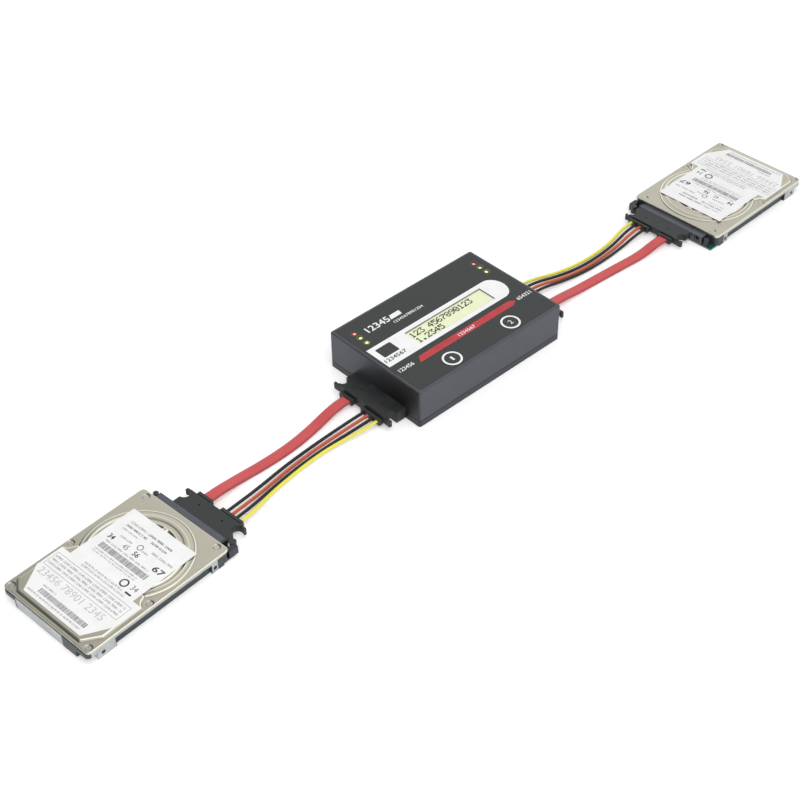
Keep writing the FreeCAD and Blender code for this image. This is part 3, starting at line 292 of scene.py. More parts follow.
def figures(name, rows, z, material, body, place=None):
    """Rows of plain figures as one flat mesh at height z. Each row is (words, x0, x1, y0, y1, bold) with
    the rectangle it fills, in millimetres. On a drive, where a place is given, the rows read across it."""
    points, faces, first = [], [], 0
    for words, *sides, bold in rows:
        x0, x1, y0, y1 = (side * MM for side in sides)
        unit, row_faces = lettering(words, bold)
        across, up = unit.T
        if place is None:
            x, y = x0 + across * (x1 - x0), y0 + up * (y1 - y0)
        else:
            x, y = x0 + up * (x1 - x0), y1 - across * (y1 - y0)
        points.append(np.column_stack([x, y, np.full(len(unit), z)]))
        faces += [[first + i for i in face] for face in row_faces]
        first += len(unit)
    return piece(name, np.concatenate(points), faces, material, body, place)


def window():
    """Low and high corner of the film's window, from the display frame's middle."""
    low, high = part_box("lcd_bezel")
    middle, half = (low + high) / 2, Vector(WINDOW_HALF)
    return middle - half, middle + half


def dress(material, *nodes):
    """Puts a material on CAD nodes."""
    for name in nodes:
        obj = frame["nodes"][name]
        if not obj.material_slots:
            obj.data.materials.append(material)
        for slot in obj.material_slots:
            slot.material = material


# ---------------------------------------------------------------- settings
def colour(name, text, code):
    return FloatVectorProperty(name=name, description=text, subtype="COLOR", size=4, min=0, max=1,
                               default=linear(code))


def length(name, text, millimetres):
    return FloatProperty(name=name, description=text, default=millimetres * MM, unit="LENGTH", precision=4)


class StageSettings(bpy.types.PropertyGroup):
    floor: length("Floor size", "Side of the square floor", 4000)
    floor_colour: colour("Floor colour", "Pale matt floor", "#f2f2f2")
    ambient: FloatProperty(name="Ambient", description="Strength of the even light all round", default=0.62)
    key: FloatProperty(name="Key lamp", description="Power of the large soft lamp overhead", default=11.0,
                       unit="POWER")
    lens: length("Lens", "Focal length of the camera for a 36 mm sensor", 70.39)


class CordSettings(bpy.types.PropertyGroup):
    wire_radius: length("Wire radius", "Outside radius of each power wire", 1.0)
    ribbon_width: length("Data cable width", "Width of the flat data cable", 7.4)
    ribbon_height: length("Data cable height", "Height of the flat data cable", 1.9)
    lead: length("Lead", "Straight run out of each connector", 9.0)
    ribbon_colour: colour("Data cable", "Red PVC", "#d04a4c")
    black: colour("Black wire", "Black PVC", "#141618")
    red: colour("Red wire", "Orange-red PVC", "#c9532f")
    yellow: colour("Yellow wire", "Yellow PVC", "#ece350")


class PrintSettings(bpy.types.PropertyGroup):
    strip_start: length("Strip start", "Left end of the white strip", -56.4)
    strip_end: length("Strip end", "Rounded right end of the white strip", 50.2)
    strip_round: length("Strip rounding", "Length of the rounded right end", 8.6)
    strip_front: length("Strip front", "Front edge of the white strip", -10.1)
    strip_back: length("Strip back", "Back edge of the white strip", 10.5)
    bar_start: length("Bar start", "Left end of the red bar", -40.0)
    bar_end: length("Bar end", "Pointed right end of the red bar", 43.0)
    bar_front: length("Bar front", "Front edge of the red bar", -19.4)
    bar_back: length("Bar back", "Back edge of the red bar", -14.4)
    ring: length("Ring width", "Width of the pale ring round each key", 1.3)
    white: colour("White ink", "Screen ink of the strip and rings", "#fbfbfc")
    red: colour("Red ink", "Screen ink of the bar", "#c2343a")


class DisplaySettings(bpy.types.PropertyGroup):
    dot: length("Dot pitch", "Distance between dots of a character", 0.66)
    character: length("Character pitch", "Distance between characters", 3.7)
    row: length("Row pitch", "Distance between the two rows", 6.0)
    set_back: length("Set-back", "Depth of the lit picture below the film", 0.6)
    lit: colour("Lit glass", "Yellow-green display glass", "#e4eac2")
    dark: colour("Dark dots", "Switched-on dots", "#1e1e18")


class DriveSettings(bpy.types.PropertyGroup):
    disc_x: length("Disc place along", "Middle of the disc from the connector edge", -35.3)
    disc_y: length("Disc place across", "Middle of the disc from the drive's middle line", -0.4)
    rise: length("Rise", "Height of the stamped plateau above the rim", 1.0)
    bevel: length("Bevel", "Width of the slope round the plateau", 1.0)
    mesh_step: length("Mesh step", "Distance between points on the lid", 0.36)
    steel: colour("Lid", "Stamped stainless steel", "#b8b5a6")
    # Colours of the painted highlight on the stamping's outward folds and of the painted shade in its inward
    # folds.
    bright: colour("Bright edges", "Painted highlight on the outward folds of the stamping", "#f2f0e2")
    shade: colour("Shaded folds", "Folds of the stamping", "#6e6c60")


# ---------------------------------------------------------------- stage
# Azimuth, elevation and roll of the camera in degrees, and its place in metres.
CAMERA_TURN = (-42.5526, 41.4442, -0.8376)
CAMERA_PLACE = (-0.526875, -0.531101, 0.620832)
# Name, place and size in metres, and share of the key lamp's power.
LAMPS = (("key", (-0.3, -0.6, 1.5), 1.4, 1.0), ("front", (-0.6, -1.3, 0.8), 1.0, 0.3))
# What mirrors see from left to right: from and to, with the strength at each.
STUDIO_LEFT = {"From Min": 0.18, "From Max": 0.36, "To Min": 0.15, "To Max": 1.5}
STUDIO_RIGHT = {"From Min": 0.4, "From Max": 0.7, "To Min": 0.0, "To Max": 0.45}
FLOOR_DROP = 0.05 * MM
FLOOR_GLOW = 0.3


def look(direction, up_roll):
    """Rotation matrix columns of a camera that looks against direction, rolled about its own axis."""
    back = np.array(direction)
    right = np.array([-back[1], back[0], 0]) / math.hypot(back[0], back[1])
    up = np.cross(back, right)
    c, s = math.cos(up_roll), math.sin(up_roll)
    return np.column_stack([right * c + up * s, -right * s + up * c, back])


class DUPLICATOR_OT_stage(bpy.types.Operator):
    """Makes the camera, the pale floor, the even light and the soft lamps"""

    bl_idname = "duplicator.stage"
    bl_label = "Stage, light and camera"

    def execute(self, context):
        settings = context.scene.duplicator_stage
        azimuth, elevation, roll = (math.radians(v) for v in CAMERA_TURN)
        back = (math.sin(azimuth) * math.cos(elevation), -math.cos(azimuth) * math.cos(elevation),
                math.sin(elevation))
        data = bpy.data.cameras.new("camera")
        data.lens = settings.lens / MM
        data.sensor_width = 36
        camera = placed("camera", data)
        turn = Matrix(look(back, roll).tolist()).to_4x4()
        camera.matrix_world = Matrix.Translation(CAMERA_PLACE) @ turn
        context.scene.camera = camera
        self.make_world(context, settings)
        self.make_floor(settings)
        self.make_lamps(settings)
        context.scene.view_settings.view_transform = "Standard"
        return {"FINISHED"}

    def seen(self, tree):
        """1 for a ray from the eye, a mirror or clear glass, and 0 for one that only lights."""
        path = add(tree, "ShaderNodeLightPath").outputs
        eye = add(tree, "ShaderNodeMath", {0: path["Is Camera Ray"], 1: path["Is Glossy Ray"]},
                  operation="MAXIMUM")
        return add(tree, "ShaderNodeMath", {0: eye, 1: path["Is Transmission Ray"]}, operation="MAXIMUM")

    def make_world(self, context, settings):
        world = bpy.data.worlds.new("even_light")
        world.use_nodes = True
        tree = world.node_tree
        tree.nodes.clear()
        # Mirrors see a studio that is dimmer to the left and brightest in the middle.
        place = add(tree, "ShaderNodeTexCoord").outputs["Generated"]
        way = add(tree, "ShaderNodeSeparateXYZ", {0: place})
        left, right = (add(tree, "ShaderNodeMapRange", {"Value": way, **side})
                       for side in (STUDIO_LEFT, STUDIO_RIGHT))
        mirrored = add(tree, "ShaderNodeMath", {0: left, 1: right}, operation="SUBTRACT")
        glossy = add(tree, "ShaderNodeLightPath").outputs["Is Glossy Ray"]
        shown = add(tree, "ShaderNodeMapRange", {"Value": glossy, "To Min": 1.0, "To Max": mirrored})
        strength = add(tree, "ShaderNodeMapRange", {"Value": self.seen(tree), "To Min": settings.ambient,
                                                    "To Max": shown})
        light = add(tree, "ShaderNodeBackground", {"Color": linear("#ffffff"), "Strength": strength})
        add(tree, "ShaderNodeOutputWorld", {"Surface": light.outputs[0]})
        context.scene.world = world

    def make_floor(self, settings):
        # Matt seamless paper: flat white with no gloss, shown near white to the eye and to mirrors.
        material, tree, shader = finish("seamless_paper", {"Base Color": tone(settings.floor_colour),
                                                           "Roughness": 0.9, "Specular IOR Level": 0.1,
                                                           "Emission Color": linear("#ffffff")})
        texture(tree, shader, 3, 0.02)
        feed(shader, "Emission Strength", add(tree, "ShaderNodeMath", {0: self.seen(tree), 1: FLOOR_GLOW},
                                              operation="MULTIPLY"))
        side = np.linspace(-settings.floor / 2, settings.floor / 2, 9)
        x, y = np.meshgrid(side, side, indexing="ij")
        points = np.stack([x, y, np.full_like(x, -FLOOR_DROP)], -1).reshape(-1, 3)
        mesh = bpy.data.meshes.new("floor")
        mesh.from_pydata(points.tolist(), [], quads(9, 9).tolist())
        mesh.materials.append(material)
        floor = placed("floor", mesh)

    def make_lamps(self, settings):
        for name, place, size, share in LAMPS:
            data = bpy.data.lights.new(name, "AREA")
            data.energy = settings.key * share
            data.size = size
            lamp = placed(name, data)
            lamp.location = place
            lamp.rotation_euler = (-Vector(place)).to_track_quat("-Z", "Y").to_euler()


# ---------------------------------------------------------------- cords
# Middle points of each cord between its straight leads, in millimetres.
ROUTES = {
    "source": {
        "data_cable": ((-107, 2.2, 1.6), (-126, -0.6, 1.3), (-146, -1.1, 1.2), (-165, -0.4, 1.4)),
        "black_wire_1": ((-105, -8.6, 2.0), (-122, -9.0, 1.3), (-140, -10.6, 1.4), (-160, -13.8, 1.6)),
        "red_wire": ((-106, -12.2, 2.2), (-124, -12.4, 1.4), (-142, -14.2, 1.3), (-161, -17.6, 1.6)),
        "black_wire_2": ((-107, -15.4, 2.0), (-125, -15.4, 1.3), (-143, -17.3, 1.4), (-162, -20.6, 1.5)),
        "yellow_wire": ((-106, -18.2, 2.9), (-123, -17.8, 2.2), (-142, -19.8, 2.0), (-161, -23.2, 2.4)),
    },
    "target": {
        "data_cable": ((106, -15.4, 1.5), (125, -16.2, 1.2), (145, -17.6, 1.3), (163, -19.0, 1.5)),
        "black_wire_1": ((105, -3.2, 2.0), (124, -5.6, 1.3), (143, -5.8, 1.4), (162, -4.4, 1.6)),
        "red_wire": ((104, -0.4, 2.2), (122, -3.0, 1.4), (142, -3.0, 1.3), (161, -1.4, 1.6)),
        "black_wire_2": ((105, 3.0, 2.0), (124, 0.0, 1.3), (142, -0.2, 1.4), (160, 1.6, 1.6)),
        "yellow_wire": ((104, 6.6, 2.2), (122, 3.4, 1.5), (141, 2.8, 1.3), (160, 4.6, 1.6)),
    },
}
JACKETS = {"black_wire_1": "pvc_black", "red_wire": "pvc_orange_red", "black_wire_2": "pvc_black",
           "yellow_wire": "pvc_yellow"}
# Each cord's place across its connector, in metres.
CORD_ACROSS = {"data_cable": 0.0106, "black_wire_1": -0.0048, "red_wire": -0.0086,
               "black_wire_2": -0.0124, "yellow_wire": -0.0161}
# Where the cords leave the plug at the box and the receptacle at the drive.
PLUG_BACK = 17.6 * MM
PLUG_CABLE_Z = 4.2 * MM
HEAD_BACK = 20.8 * MM
HEAD_ACROSS = -4.8 * MM
HEAD_CABLE_Z = 4.5 * MM


def cord_points(side, name, lead):
    """Straight leads out of both connectors, with the middle points of the route between them."""
    t = CORD_ACROSS[name]
    plug, drive = plug_frame(side), drive_frame(side)
    start = [in_frame(plug, -PLUG_BACK, t, PLUG_CABLE_Z), in_frame(plug, -PLUG_BACK - lead, t, PLUG_CABLE_Z)]
    end = [in_frame(drive, HEAD_BACK + lead, HEAD_ACROSS + t, HEAD_CABLE_Z),
           in_frame(drive, HEAD_BACK, HEAD_ACROSS + t, HEAD_CABLE_Z)]
    return start + [Vector(p) * MM for p in ROUTES[side][name]] + end


def spline_of(name, points):
    """A smooth curve with the route's points as its control points."""
    curve = bpy.data.curves.new(name, "CURVE")
    curve.dimensions = "3D"
    curve.resolution_u = 12
    spline = curve.splines.new("NURBS")
    spline.points.add(len(points) - 1)
    for control, place in zip(spline.points, points):
        control.co = (*place, 1)
    spline.order_u = 3
    spline.use_endpoint_u = True
    return placed(name, curve)


def flat_section(width, height):
    """The data cable's outline: a flat oval whose top and bottom dip between its two wire pairs.
    At angle t the half width is w*sgn(cos t)*|cos t|^0.45, and the height is h*sgn(sin t)*|sin t|^0.45,
    less 14% of h times (1 + cos(2 pi s))/2 for s from -1 to 1 across."""
    t = np.linspace(0, 2 * np.pi, 40, endpoint=False)
    across = np.sign(np.cos(t)) * np.abs(np.cos(t)) ** 0.45
    up = np.sign(np.sin(t)) * np.abs(np.sin(t)) ** 0.45
    dip = 1 - 0.14 * (1 + np.cos(2 * np.pi * across)) / 2
    return across * width / 2, up * dip * height / 2


def sweep(name, line, across, up, material, body):
    """A section carried along a line: each row is the section set square to the line there, kept level.
    Both ends are closed with one face. UV runs along the line and across the section."""
    tangent = np.gradient(line, axis=0)
    tangent /= np.linalg.norm(tangent, axis=1)[:, None]
    side = np.cross(np.array([0.0, 0.0, 1.0]), tangent)
    side /= np.linalg.norm(side, axis=1)[:, None]
    lift = np.cross(tangent, side)
    rows, columns = len(line), len(across)
    points = line[:, None] + side[:, None] * across[None, :, None] + lift[:, None] * up[None, :, None]
    faces = quads(rows, columns, closed=True)[:, ::-1].tolist()
    faces += [range(columns), range(rows * columns - 1, (rows - 1) * columns - 1, -1)]
    obj = piece(name, points.reshape(-1, 3), faces, material, body, smooth=True)
    layer = obj.data.uv_layers.new(name="section")
    vertex = np.zeros(len(obj.data.loops), int)
    obj.data.loops.foreach_get("vertex_index", vertex)
    share = across / (across.max() - across.min()) + 0.5
    uv = np.column_stack([vertex // columns / (rows - 1), share[vertex % columns]])
    layer.data.foreach_set("uv", uv.ravel())
    return obj


class DUPLICATOR_OT_cords(bpy.types.Operator):
    """Makes the flat data cable and the four power wires on each side"""

    bl_idname = "duplicator.cords"
    bl_label = "Cables"

    def execute(self, context):
        settings = context.scene.duplicator_cords
        colours = {"pvc_black": settings.black, "pvc_orange_red": settings.red, "pvc_yellow": settings.yellow}
        jackets = {name: self.jacket(name, base) for name, base in colours.items()}
        ribbon = self.flat_jacket(settings)
        for side in SIDES:
            body = side + "_cable"
            for name in ROUTES[side]:
                node = side + "_" + name
                points = cord_points(side, name, settings.lead)
                if name == "data_cable":
                    line = as_mesh(spline_of(node + "_guide", points))[0]
                    section = flat_section(settings.ribbon_width, settings.ribbon_height)
                    cord = sweep(node + "_jacket", line, *section, ribbon, body)
                else:
                    cord = spline_of(node + "_jacket", points)
                    cord.data.bevel_depth = settings.wire_radius
                    cord.data.bevel_resolution = 5
                    cord.data.use_fill_caps = True
                    cord.data.materials.append(jackets[JACKETS[name]])
                    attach(cord, body)
                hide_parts(node)
        return {"FINISHED"}

    def jacket(self, name, base):
        # Extruded PVC insulation: smooth and waxy, with faint waves from the die; the black one shines less.
        gloss = 0.35 if sum(base[:3]) < 0.05 else 0.5
        material, tree, shader = finish(name, {"Base Color": list(base), "IOR": 1.53,
                                               "Specular IOR Level": gloss})
        texture(tree, shader, 2.5, 0.03, lumps=grain(tree, 2.5), roughness=(0.3, 0.42))
        return material

    def flat_jacket(self, settings):
        # Extruded PVC flat cable: satin top, with painted shade in a darker line along each edge where it
        # curves away.
        material, tree, shader = finish("pvc_flat_red", {"IOR": 1.53, "Roughness": 0.38})
        split = add(tree, "ShaderNodeSeparateXYZ", {0: add(tree, "ShaderNodeUVMap", uv_map="section")})
        middle = add(tree, "ShaderNodeMath", {0: split.outputs[1], 1: 0.5}, operation="SUBTRACT")
        out = add(tree, "ShaderNodeMath", {0: middle}, operation="ABSOLUTE")
        base = settings.ribbon_colour
        # Painted shade: the colour darkens towards both edges of the cable.
        edge = between(tree, out, tone(base), tone(base, 0.62), 0.36, 0.46)
        cloud = between(tree, grain(tree, 12), [0.93, 0.93, 0.93, 1], [1, 1, 1, 1])
        feed(shader, "Base Color", add(tree, "ShaderNodeMix", {0: 1.0, 6: edge, 7: cloud}, data_type="RGBA",
                                       blend_type="MULTIPLY").outputs[2])
        texture(tree, shader, 1.2, 0.02)
        return material


# ---------------------------------------------------------------- finishes of the box
# Name, darker and lighter colour, roughness, lump size and bump depth in millimetres, metallic, nodes.
FINISHES = (
    # Natural ABS keys under the film.
    ("natural_abs", "#cfcdc4", "#dad8cf", (0.4, 0.5), 6, 0.02, 0.0, ("left_button_key", "right_button_key")),
    # Black phenolic and epoxy parts of the boards.
    ("moulded_epoxy", "#1b1b1c", "#242426", (0.45, 0.6), 4, 0.02, 0.0,
     ("left_switch_plunger", "right_switch_plunger", "tact_switches", "board_chips", "lcd_header")),
    # Copper legs and pin, dull with tin.
    ("tinned_copper", "#b5b5b0", "#c9c9c4", (0.25, 0.4), 2, 0.01, 1.0, ("led_legs", "power_jack_pin")),
    # Zinc-plated steel screws, passivated clear.
    ("zinc_plated_steel", "#a9a9a4", "#c2c2bd", (0.28, 0.42), 1.5, 0.02, 1.0,
     ("case_screws", "board_screws", "lcd_screws", "source_drive_screws", "target_drive_screws")),
    # Capacitors in dark blue shrunk sleeves.
    ("sleeved_capacitor", "#23263a", "#2e3150", (0.3, 0.4), 5, 0.01, 0.0, ("board_capacitors",)),
    # Sheet steel frame of the display, painted satin black.
    ("black_painted_steel", "#141414", "#1e1e1e", (0.4, 0.5), 5, 0.01, 0.0, ("lcd_bezel",)),
    # Thin gold over nickel on every contact.
    ("gold_plate", "#c79a3c", "#dcb253", (0.2, 0.32), 1, 0.005, 1.0,
     ("socket_contacts", "source_cable_contacts", "target_cable_contacts", "source_drive_contacts",
      "target_drive_contacts")),
    # Black polyester sockets and jack.
    ("black_polyester", "#1d1f21", "#27292b", (0.35, 0.5), 5, 0.02, 0.0,
     ("source_socket", "target_socket", "power_jack")),
    # Printed paper label: bright white, dull, faintly fibrous.
    ("coated_paper", "#f3f3f2", "#fafafa", (0.5, 0.6), 10, 0.01, 0.0,
     ("source_drive_label", "target_drive_label")),
)
# Painted dark reflection on the left wall: it deepens as the wall faces left, and from the middle towards the
# front.
REFLECTION_FACING_LEFT = {"From Min": -0.6, "From Max": -0.95}
REFLECTION_TOWARDS_FRONT = {"From Min": 24 * MM, "From Max": -16 * MM}
TRACK_PITCH = 2.2 * MM
TRACK_HEIGHT = 0.03 * MM
LAMP_RADIUS = 1.5 * MM
HALO_GAP = 0.02 * MM
HALO_WIDTH = 0.42 * MM


def solder_mask(name, dark, light):
    # Solder mask over glass-epoxy laminate: glossy, with copper just showing as paler lines.
    material, tree, shader = finish(name, {"Roughness": 0.25, "Coat Weight": 0.3})
    place = add(tree, "ShaderNodeTexCoord").outputs["Object"]
    tracks = add(tree, "ShaderNodeTexVoronoi", {"Vector": place, "Scale": 1 / TRACK_PITCH}, feature="F1",
                 distance="MANHATTAN").outputs["Distance"]
    feed(shader, "Base Color", between(tree, tracks, tone(light), tone(dark), 0.25, 0.4))
    bump = add(tree, "ShaderNodeBump", {"Height": tracks, "Distance": TRACK_HEIGHT, "Strength": 1.0})
    feed(shader, "Normal", bump)
    return material


class DUPLICATOR_OT_case(bpy.types.Operator):
    """Gives the box, its boards, lamps, keys and display frame their finishes"""

    bl_idname = "duplicator.case"
    bl_label = "Box finishes"

    def execute(self, context):
        for name, dark, light, roughness, size, depth, metallic, nodes in FINISHES:
            dress(mottled(name, dark, light, roughness, size, depth, metallic)[0], *nodes)
        # Moulded ABS with a fine spark-eroded texture: satin, slightly blue, softly speckled, with a painted
        # dark reflection on the left wall.
        dress(self.moulded("moulded_abs", "#3d4049", "#464952"), "top_cover")
        dress(self.moulded("moulded_abs_tray", "#282a30", "#303239"), "bottom_tray")
        # Screen-printed polycarbonate film: matt, a shade greener than the case, with a fine dark speckle.
        film, _, shader = mottled("matt_polycarbonate_film", "#343837", "#3b3f3e", (0.5, 0.6), 14, 0.02,
                                  fine=0.7)
        shader.inputs["Specular IOR Level"].default_value = 0.3
        dress(film, "front_overlay", "left_button_pad", "right_button_pad")
        dress(solder_mask("solder_mask_green", "#14503a", "#1f6a4b"), "main_board", "lcd_board")
        dress(self.lamp("diffused_epoxy_red", "#d2504a", "#f2a79e"), "red_leds")
        dress(self.lamp("diffused_epoxy_yellow_green", "#d2d858", "#f2f2ae"), "green_leds")
        self.halos()
        return {"FINISHED"}

    def halos(self):
        """Tinted rings on the film round each lamp, fading outwards, where its light shows through."""
        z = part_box("front_overlay")[1].z + PRINT_LIFT
        for glow, nodes, tints in (("red", "red_leds", ("#713634", "#4f3838")),
                                   ("yellow", "green_leds", ("#6f7236", "#4a4d3a"))):
            low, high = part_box(nodes)
            columns = low.x + LAMP_RADIUS, high.x - LAMP_RADIUS
            rows = ((low.y + high.y) / 2,) if glow == "red" else (low.y + LAMP_RADIUS, high.y - LAMP_RADIUS)
            for step, tint in enumerate(tints):
                # Printed film with the lamp's light coming through it.
                film = finish(f"lit_film_{glow}_{step}", {"Base Color": linear(tint), "Roughness": 0.55})[0]
                inner = LAMP_RADIUS + HALO_GAP + HALO_WIDTH * step
                rings = [q for x in columns for y in rows for q in annulus(x, y, inner, inner + HALO_WIDTH)]
                plates(f"{glow}_halos_{step}", rings, z, film, "duplicator")

    def moulded(self, name, dark, light):
        """Case plastic with a painted dark reflection over the front half of the left wall, where the plug
        stands.
        """
        material, tree, shader = finish(name, {"IOR": 1.5})
        cloud = grain(tree, 9)
        shape = add(tree, "ShaderNodeTexCoord")
        way = add(tree, "ShaderNodeSeparateXYZ", {0: shape.outputs["Normal"]})
        place = add(tree, "ShaderNodeSeparateXYZ", {0: shape.outputs["Object"]})
        left = add(tree, "ShaderNodeMapRange", {"Value": way.outputs[0], **REFLECTION_FACING_LEFT})
        front = add(tree, "ShaderNodeMapRange", {"Value": place.outputs[1], **REFLECTION_TOWARDS_FRONT})
        dark_reflection = add(tree, "ShaderNodeMath", {0: left, 1: front}, operation="MULTIPLY")
        plain = between(tree, cloud, tone(dark), tone(light))
        # Painted dark reflection: the colour runs to near black where the wall faces left and towards the
        # front.
        feed(shader, "Base Color", between(tree, dark_reflection, plain, tone("#141518"), 0, 1))
        texture(tree, shader, 0.9, 0.05, 4.0, cloud, (0.42, 0.5))
        return material

    def lamp(self, name, rim, middle):
        # Diffused epoxy lamp: waxy and glowing, with a painted highlight that makes it a little lighter where
        # the dome looks up at the eye.
        material, tree, shader = finish(name, {"Roughness": 0.3, "Subsurface Weight": 0.2,
                                               "Subsurface Scale": 0.5 * MM, "Emission Strength": 0.7})
        facing = add(tree, "ShaderNodeTexCoord").outputs["Normal"]
        upward = add(tree, "ShaderNodeSeparateXYZ", {0: facing}).outputs[2]
        # The lamp's own glow, with a painted highlight: lighter where the dome faces up.
        glow = between(tree, upward, tone(rim), tone(middle), 0.6, 0.98)
        feed(shader, "Base Color", glow)
        feed(shader, "Emission Color", glow)
        texture(tree, shader, 0.8, 0.01)
        return material


# ---------------------------------------------------------------- printed film
# Rows of figures: piece, words, low and high x, low and high y in millimetres, and boldness.
FILM_ROWS = (
    ("film_figures", "12345", -43.5, -25.4, 21.9, 27.2, 0.015),
    ("film_figures", "12345678901234", -25.5, -1.7, 18.2, 20.4, 0.01),
    ("film_figures", "123456", -55.0, -43.4, -18.1, -15.1, 0.012),
    ("film_figures", "654321", 44.8, 56.4, -18.3, -15.3, 0.012),
    ("film_bar_figures", "1234567", -6.2, 7.6, -18.2, -15.7, 0.01),
    ("film_square_figures", "1234567", -55.0, -38.2, -6.4, -3.2, 0.02),
)
FILM_PATCH = np.array([(-25.0, 22.4), (-16.0, 22.4), (-15.6, 26.2), (-23.4, 26.2)]) * MM
FILM_SQUARE = (-52.4 * MM, -40.4 * MM, -1.8 * MM, 7.4 * MM, 0.8 * MM)
# The figure on each key with half its width, and half its height, in millimetres.
KEY_NUMBERS = {"left": ("1", 0.7), "right": ("2", 1.2)}
KEY_NUMBER_HALF = 1.8
RING_INSET = 0.22 * MM
BAR_SLANT = 3.0 * MM
BAR_POINT = 0.7


class DUPLICATOR_OT_film_print(bpy.types.Operator):
    """Prints the white strip, red bar, key rings and plain marks on the film"""

    bl_idname = "duplicator.film_print"
    bl_label = "Film print"

    def execute(self, context):
        s = context.scene.duplicator_print
        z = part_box("front_overlay")[1].z + PRINT_LIFT
        over = z + PRINT_LIFT
        white = ink("white_screen_ink", s.white, tone(s.white, 0.94))
        red = ink("red_screen_ink", s.red, tone(s.red, 0.88))
        dark = ink("dark_screen_ink", "#2b2d2f", "#252729")
        plates("film_strip", self.strip(s), z, white, "duplicator")
        reach = s.bar_end - (s.bar_back - s.bar_front) * BAR_POINT
        bar = [(s.bar_start, s.bar_front), (reach, s.bar_front), (s.bar_end, (s.bar_front + s.bar_back) / 2),
               (reach, s.bar_back), (s.bar_start + BAR_SLANT, s.bar_back)]
        plates("film_bar", [bar], z, red, "duplicator")
        for side, (number, wide) in KEY_NUMBERS.items():
            low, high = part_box(side + "_button_pad")
            x, y, radius = (low.x + high.x) / 2, (low.y + high.y) / 2, (high.x - low.x) / 2 - RING_INSET
            body = side + "_button"
            plates(side + "_key_ring", annulus(x, y, radius - s.ring, radius), z, white, body)
            x, y = x / MM, y / MM
            row = (number, x - wide, x + wide, y - KEY_NUMBER_HALF, y + KEY_NUMBER_HALF, 0)
            figures(side + "_key_number", [row], z, white, body)
        plates("film_square", [rounded(*FILM_SQUARE)], over, dark, "duplicator")
        plates("film_patch", [FILM_PATCH], z, white, "duplicator")
        for name, height, shade in (("film_figures", z, white), ("film_bar_figures", over, white),
                                    ("film_square_figures", over, dark)):
            figures(name, [row for own, *row in FILM_ROWS if own == name], height, shade, "duplicator")
        return {"FINISHED"}

    def strip(self, s):
        """The white strip as four outlines round the window: left of it, in front, right of it and behind.
        Its right end is half an oval."""
        low, high = window()
        half, middle = (s.strip_back - s.strip_front) / 2, (s.strip_back + s.strip_front) / 2
        centre = s.strip_end - s.strip_round
        end = arc(0, 0, half, -90, 90, 40) * (s.strip_round / half, 1) + (centre, middle)
        front, nose, back = (end[test] for test in (end[:, 1] <= low.y,
                                                    (end[:, 1] > low.y) & (end[:, 1] < high.y),
                                                    end[:, 1] >= high.y))
        edge_low, edge_high = (centre + s.strip_round * math.sqrt(1 - ((y - middle) / half) ** 2)
                               for y in (low.y, high.y))
        return [oblong(s.strip_start, low.x, s.strip_front, s.strip_back),
                np.concatenate([[(low.x, low.y), (low.x, s.strip_front)], front, [(edge_low, low.y)]]),
                np.concatenate([[(high.x, low.y), (edge_low, low.y)], nose,
                                [(edge_high, high.y), (high.x, high.y)]]),
                np.concatenate([[(low.x, high.y), (edge_high, high.y)], back, [(low.x, s.strip_back)]])]


# ---------------------------------------------------------------- display
# Seven rows of dots for each figure, as the five bits of a number in base 16.
DOT_DIGITS = {
    "0": "0E 11 13 15 19 11 0E", "1": "04 0C 04 04 04 04 0E", "2": "0E 11 01 02 04 08 1F",
    "3": "1F 02 04 02 01 11 0E", "4": "02 06 0A 12 1F 02 02", "5": "1F 10 1E 01 01 11 0E",
    "6": "06 08 10 1E 11 11 0E", "7": "1F 01 02 04 08 08 08", "8": "0E 11 11 0E 11 11 0E",
    "9": "0E 11 11 0F 01 02 0C", ".": "00 00 00 00 00 0C 0C",
}
DISPLAY_ROWS = ("123 4567890123", "1.2345")
FIRST_DOT = Vector((-31.2 * MM, 5.1 * MM, 0))
FRAME_SHADOW = 0.9 * MM
DOT_GROWTH = 1.3


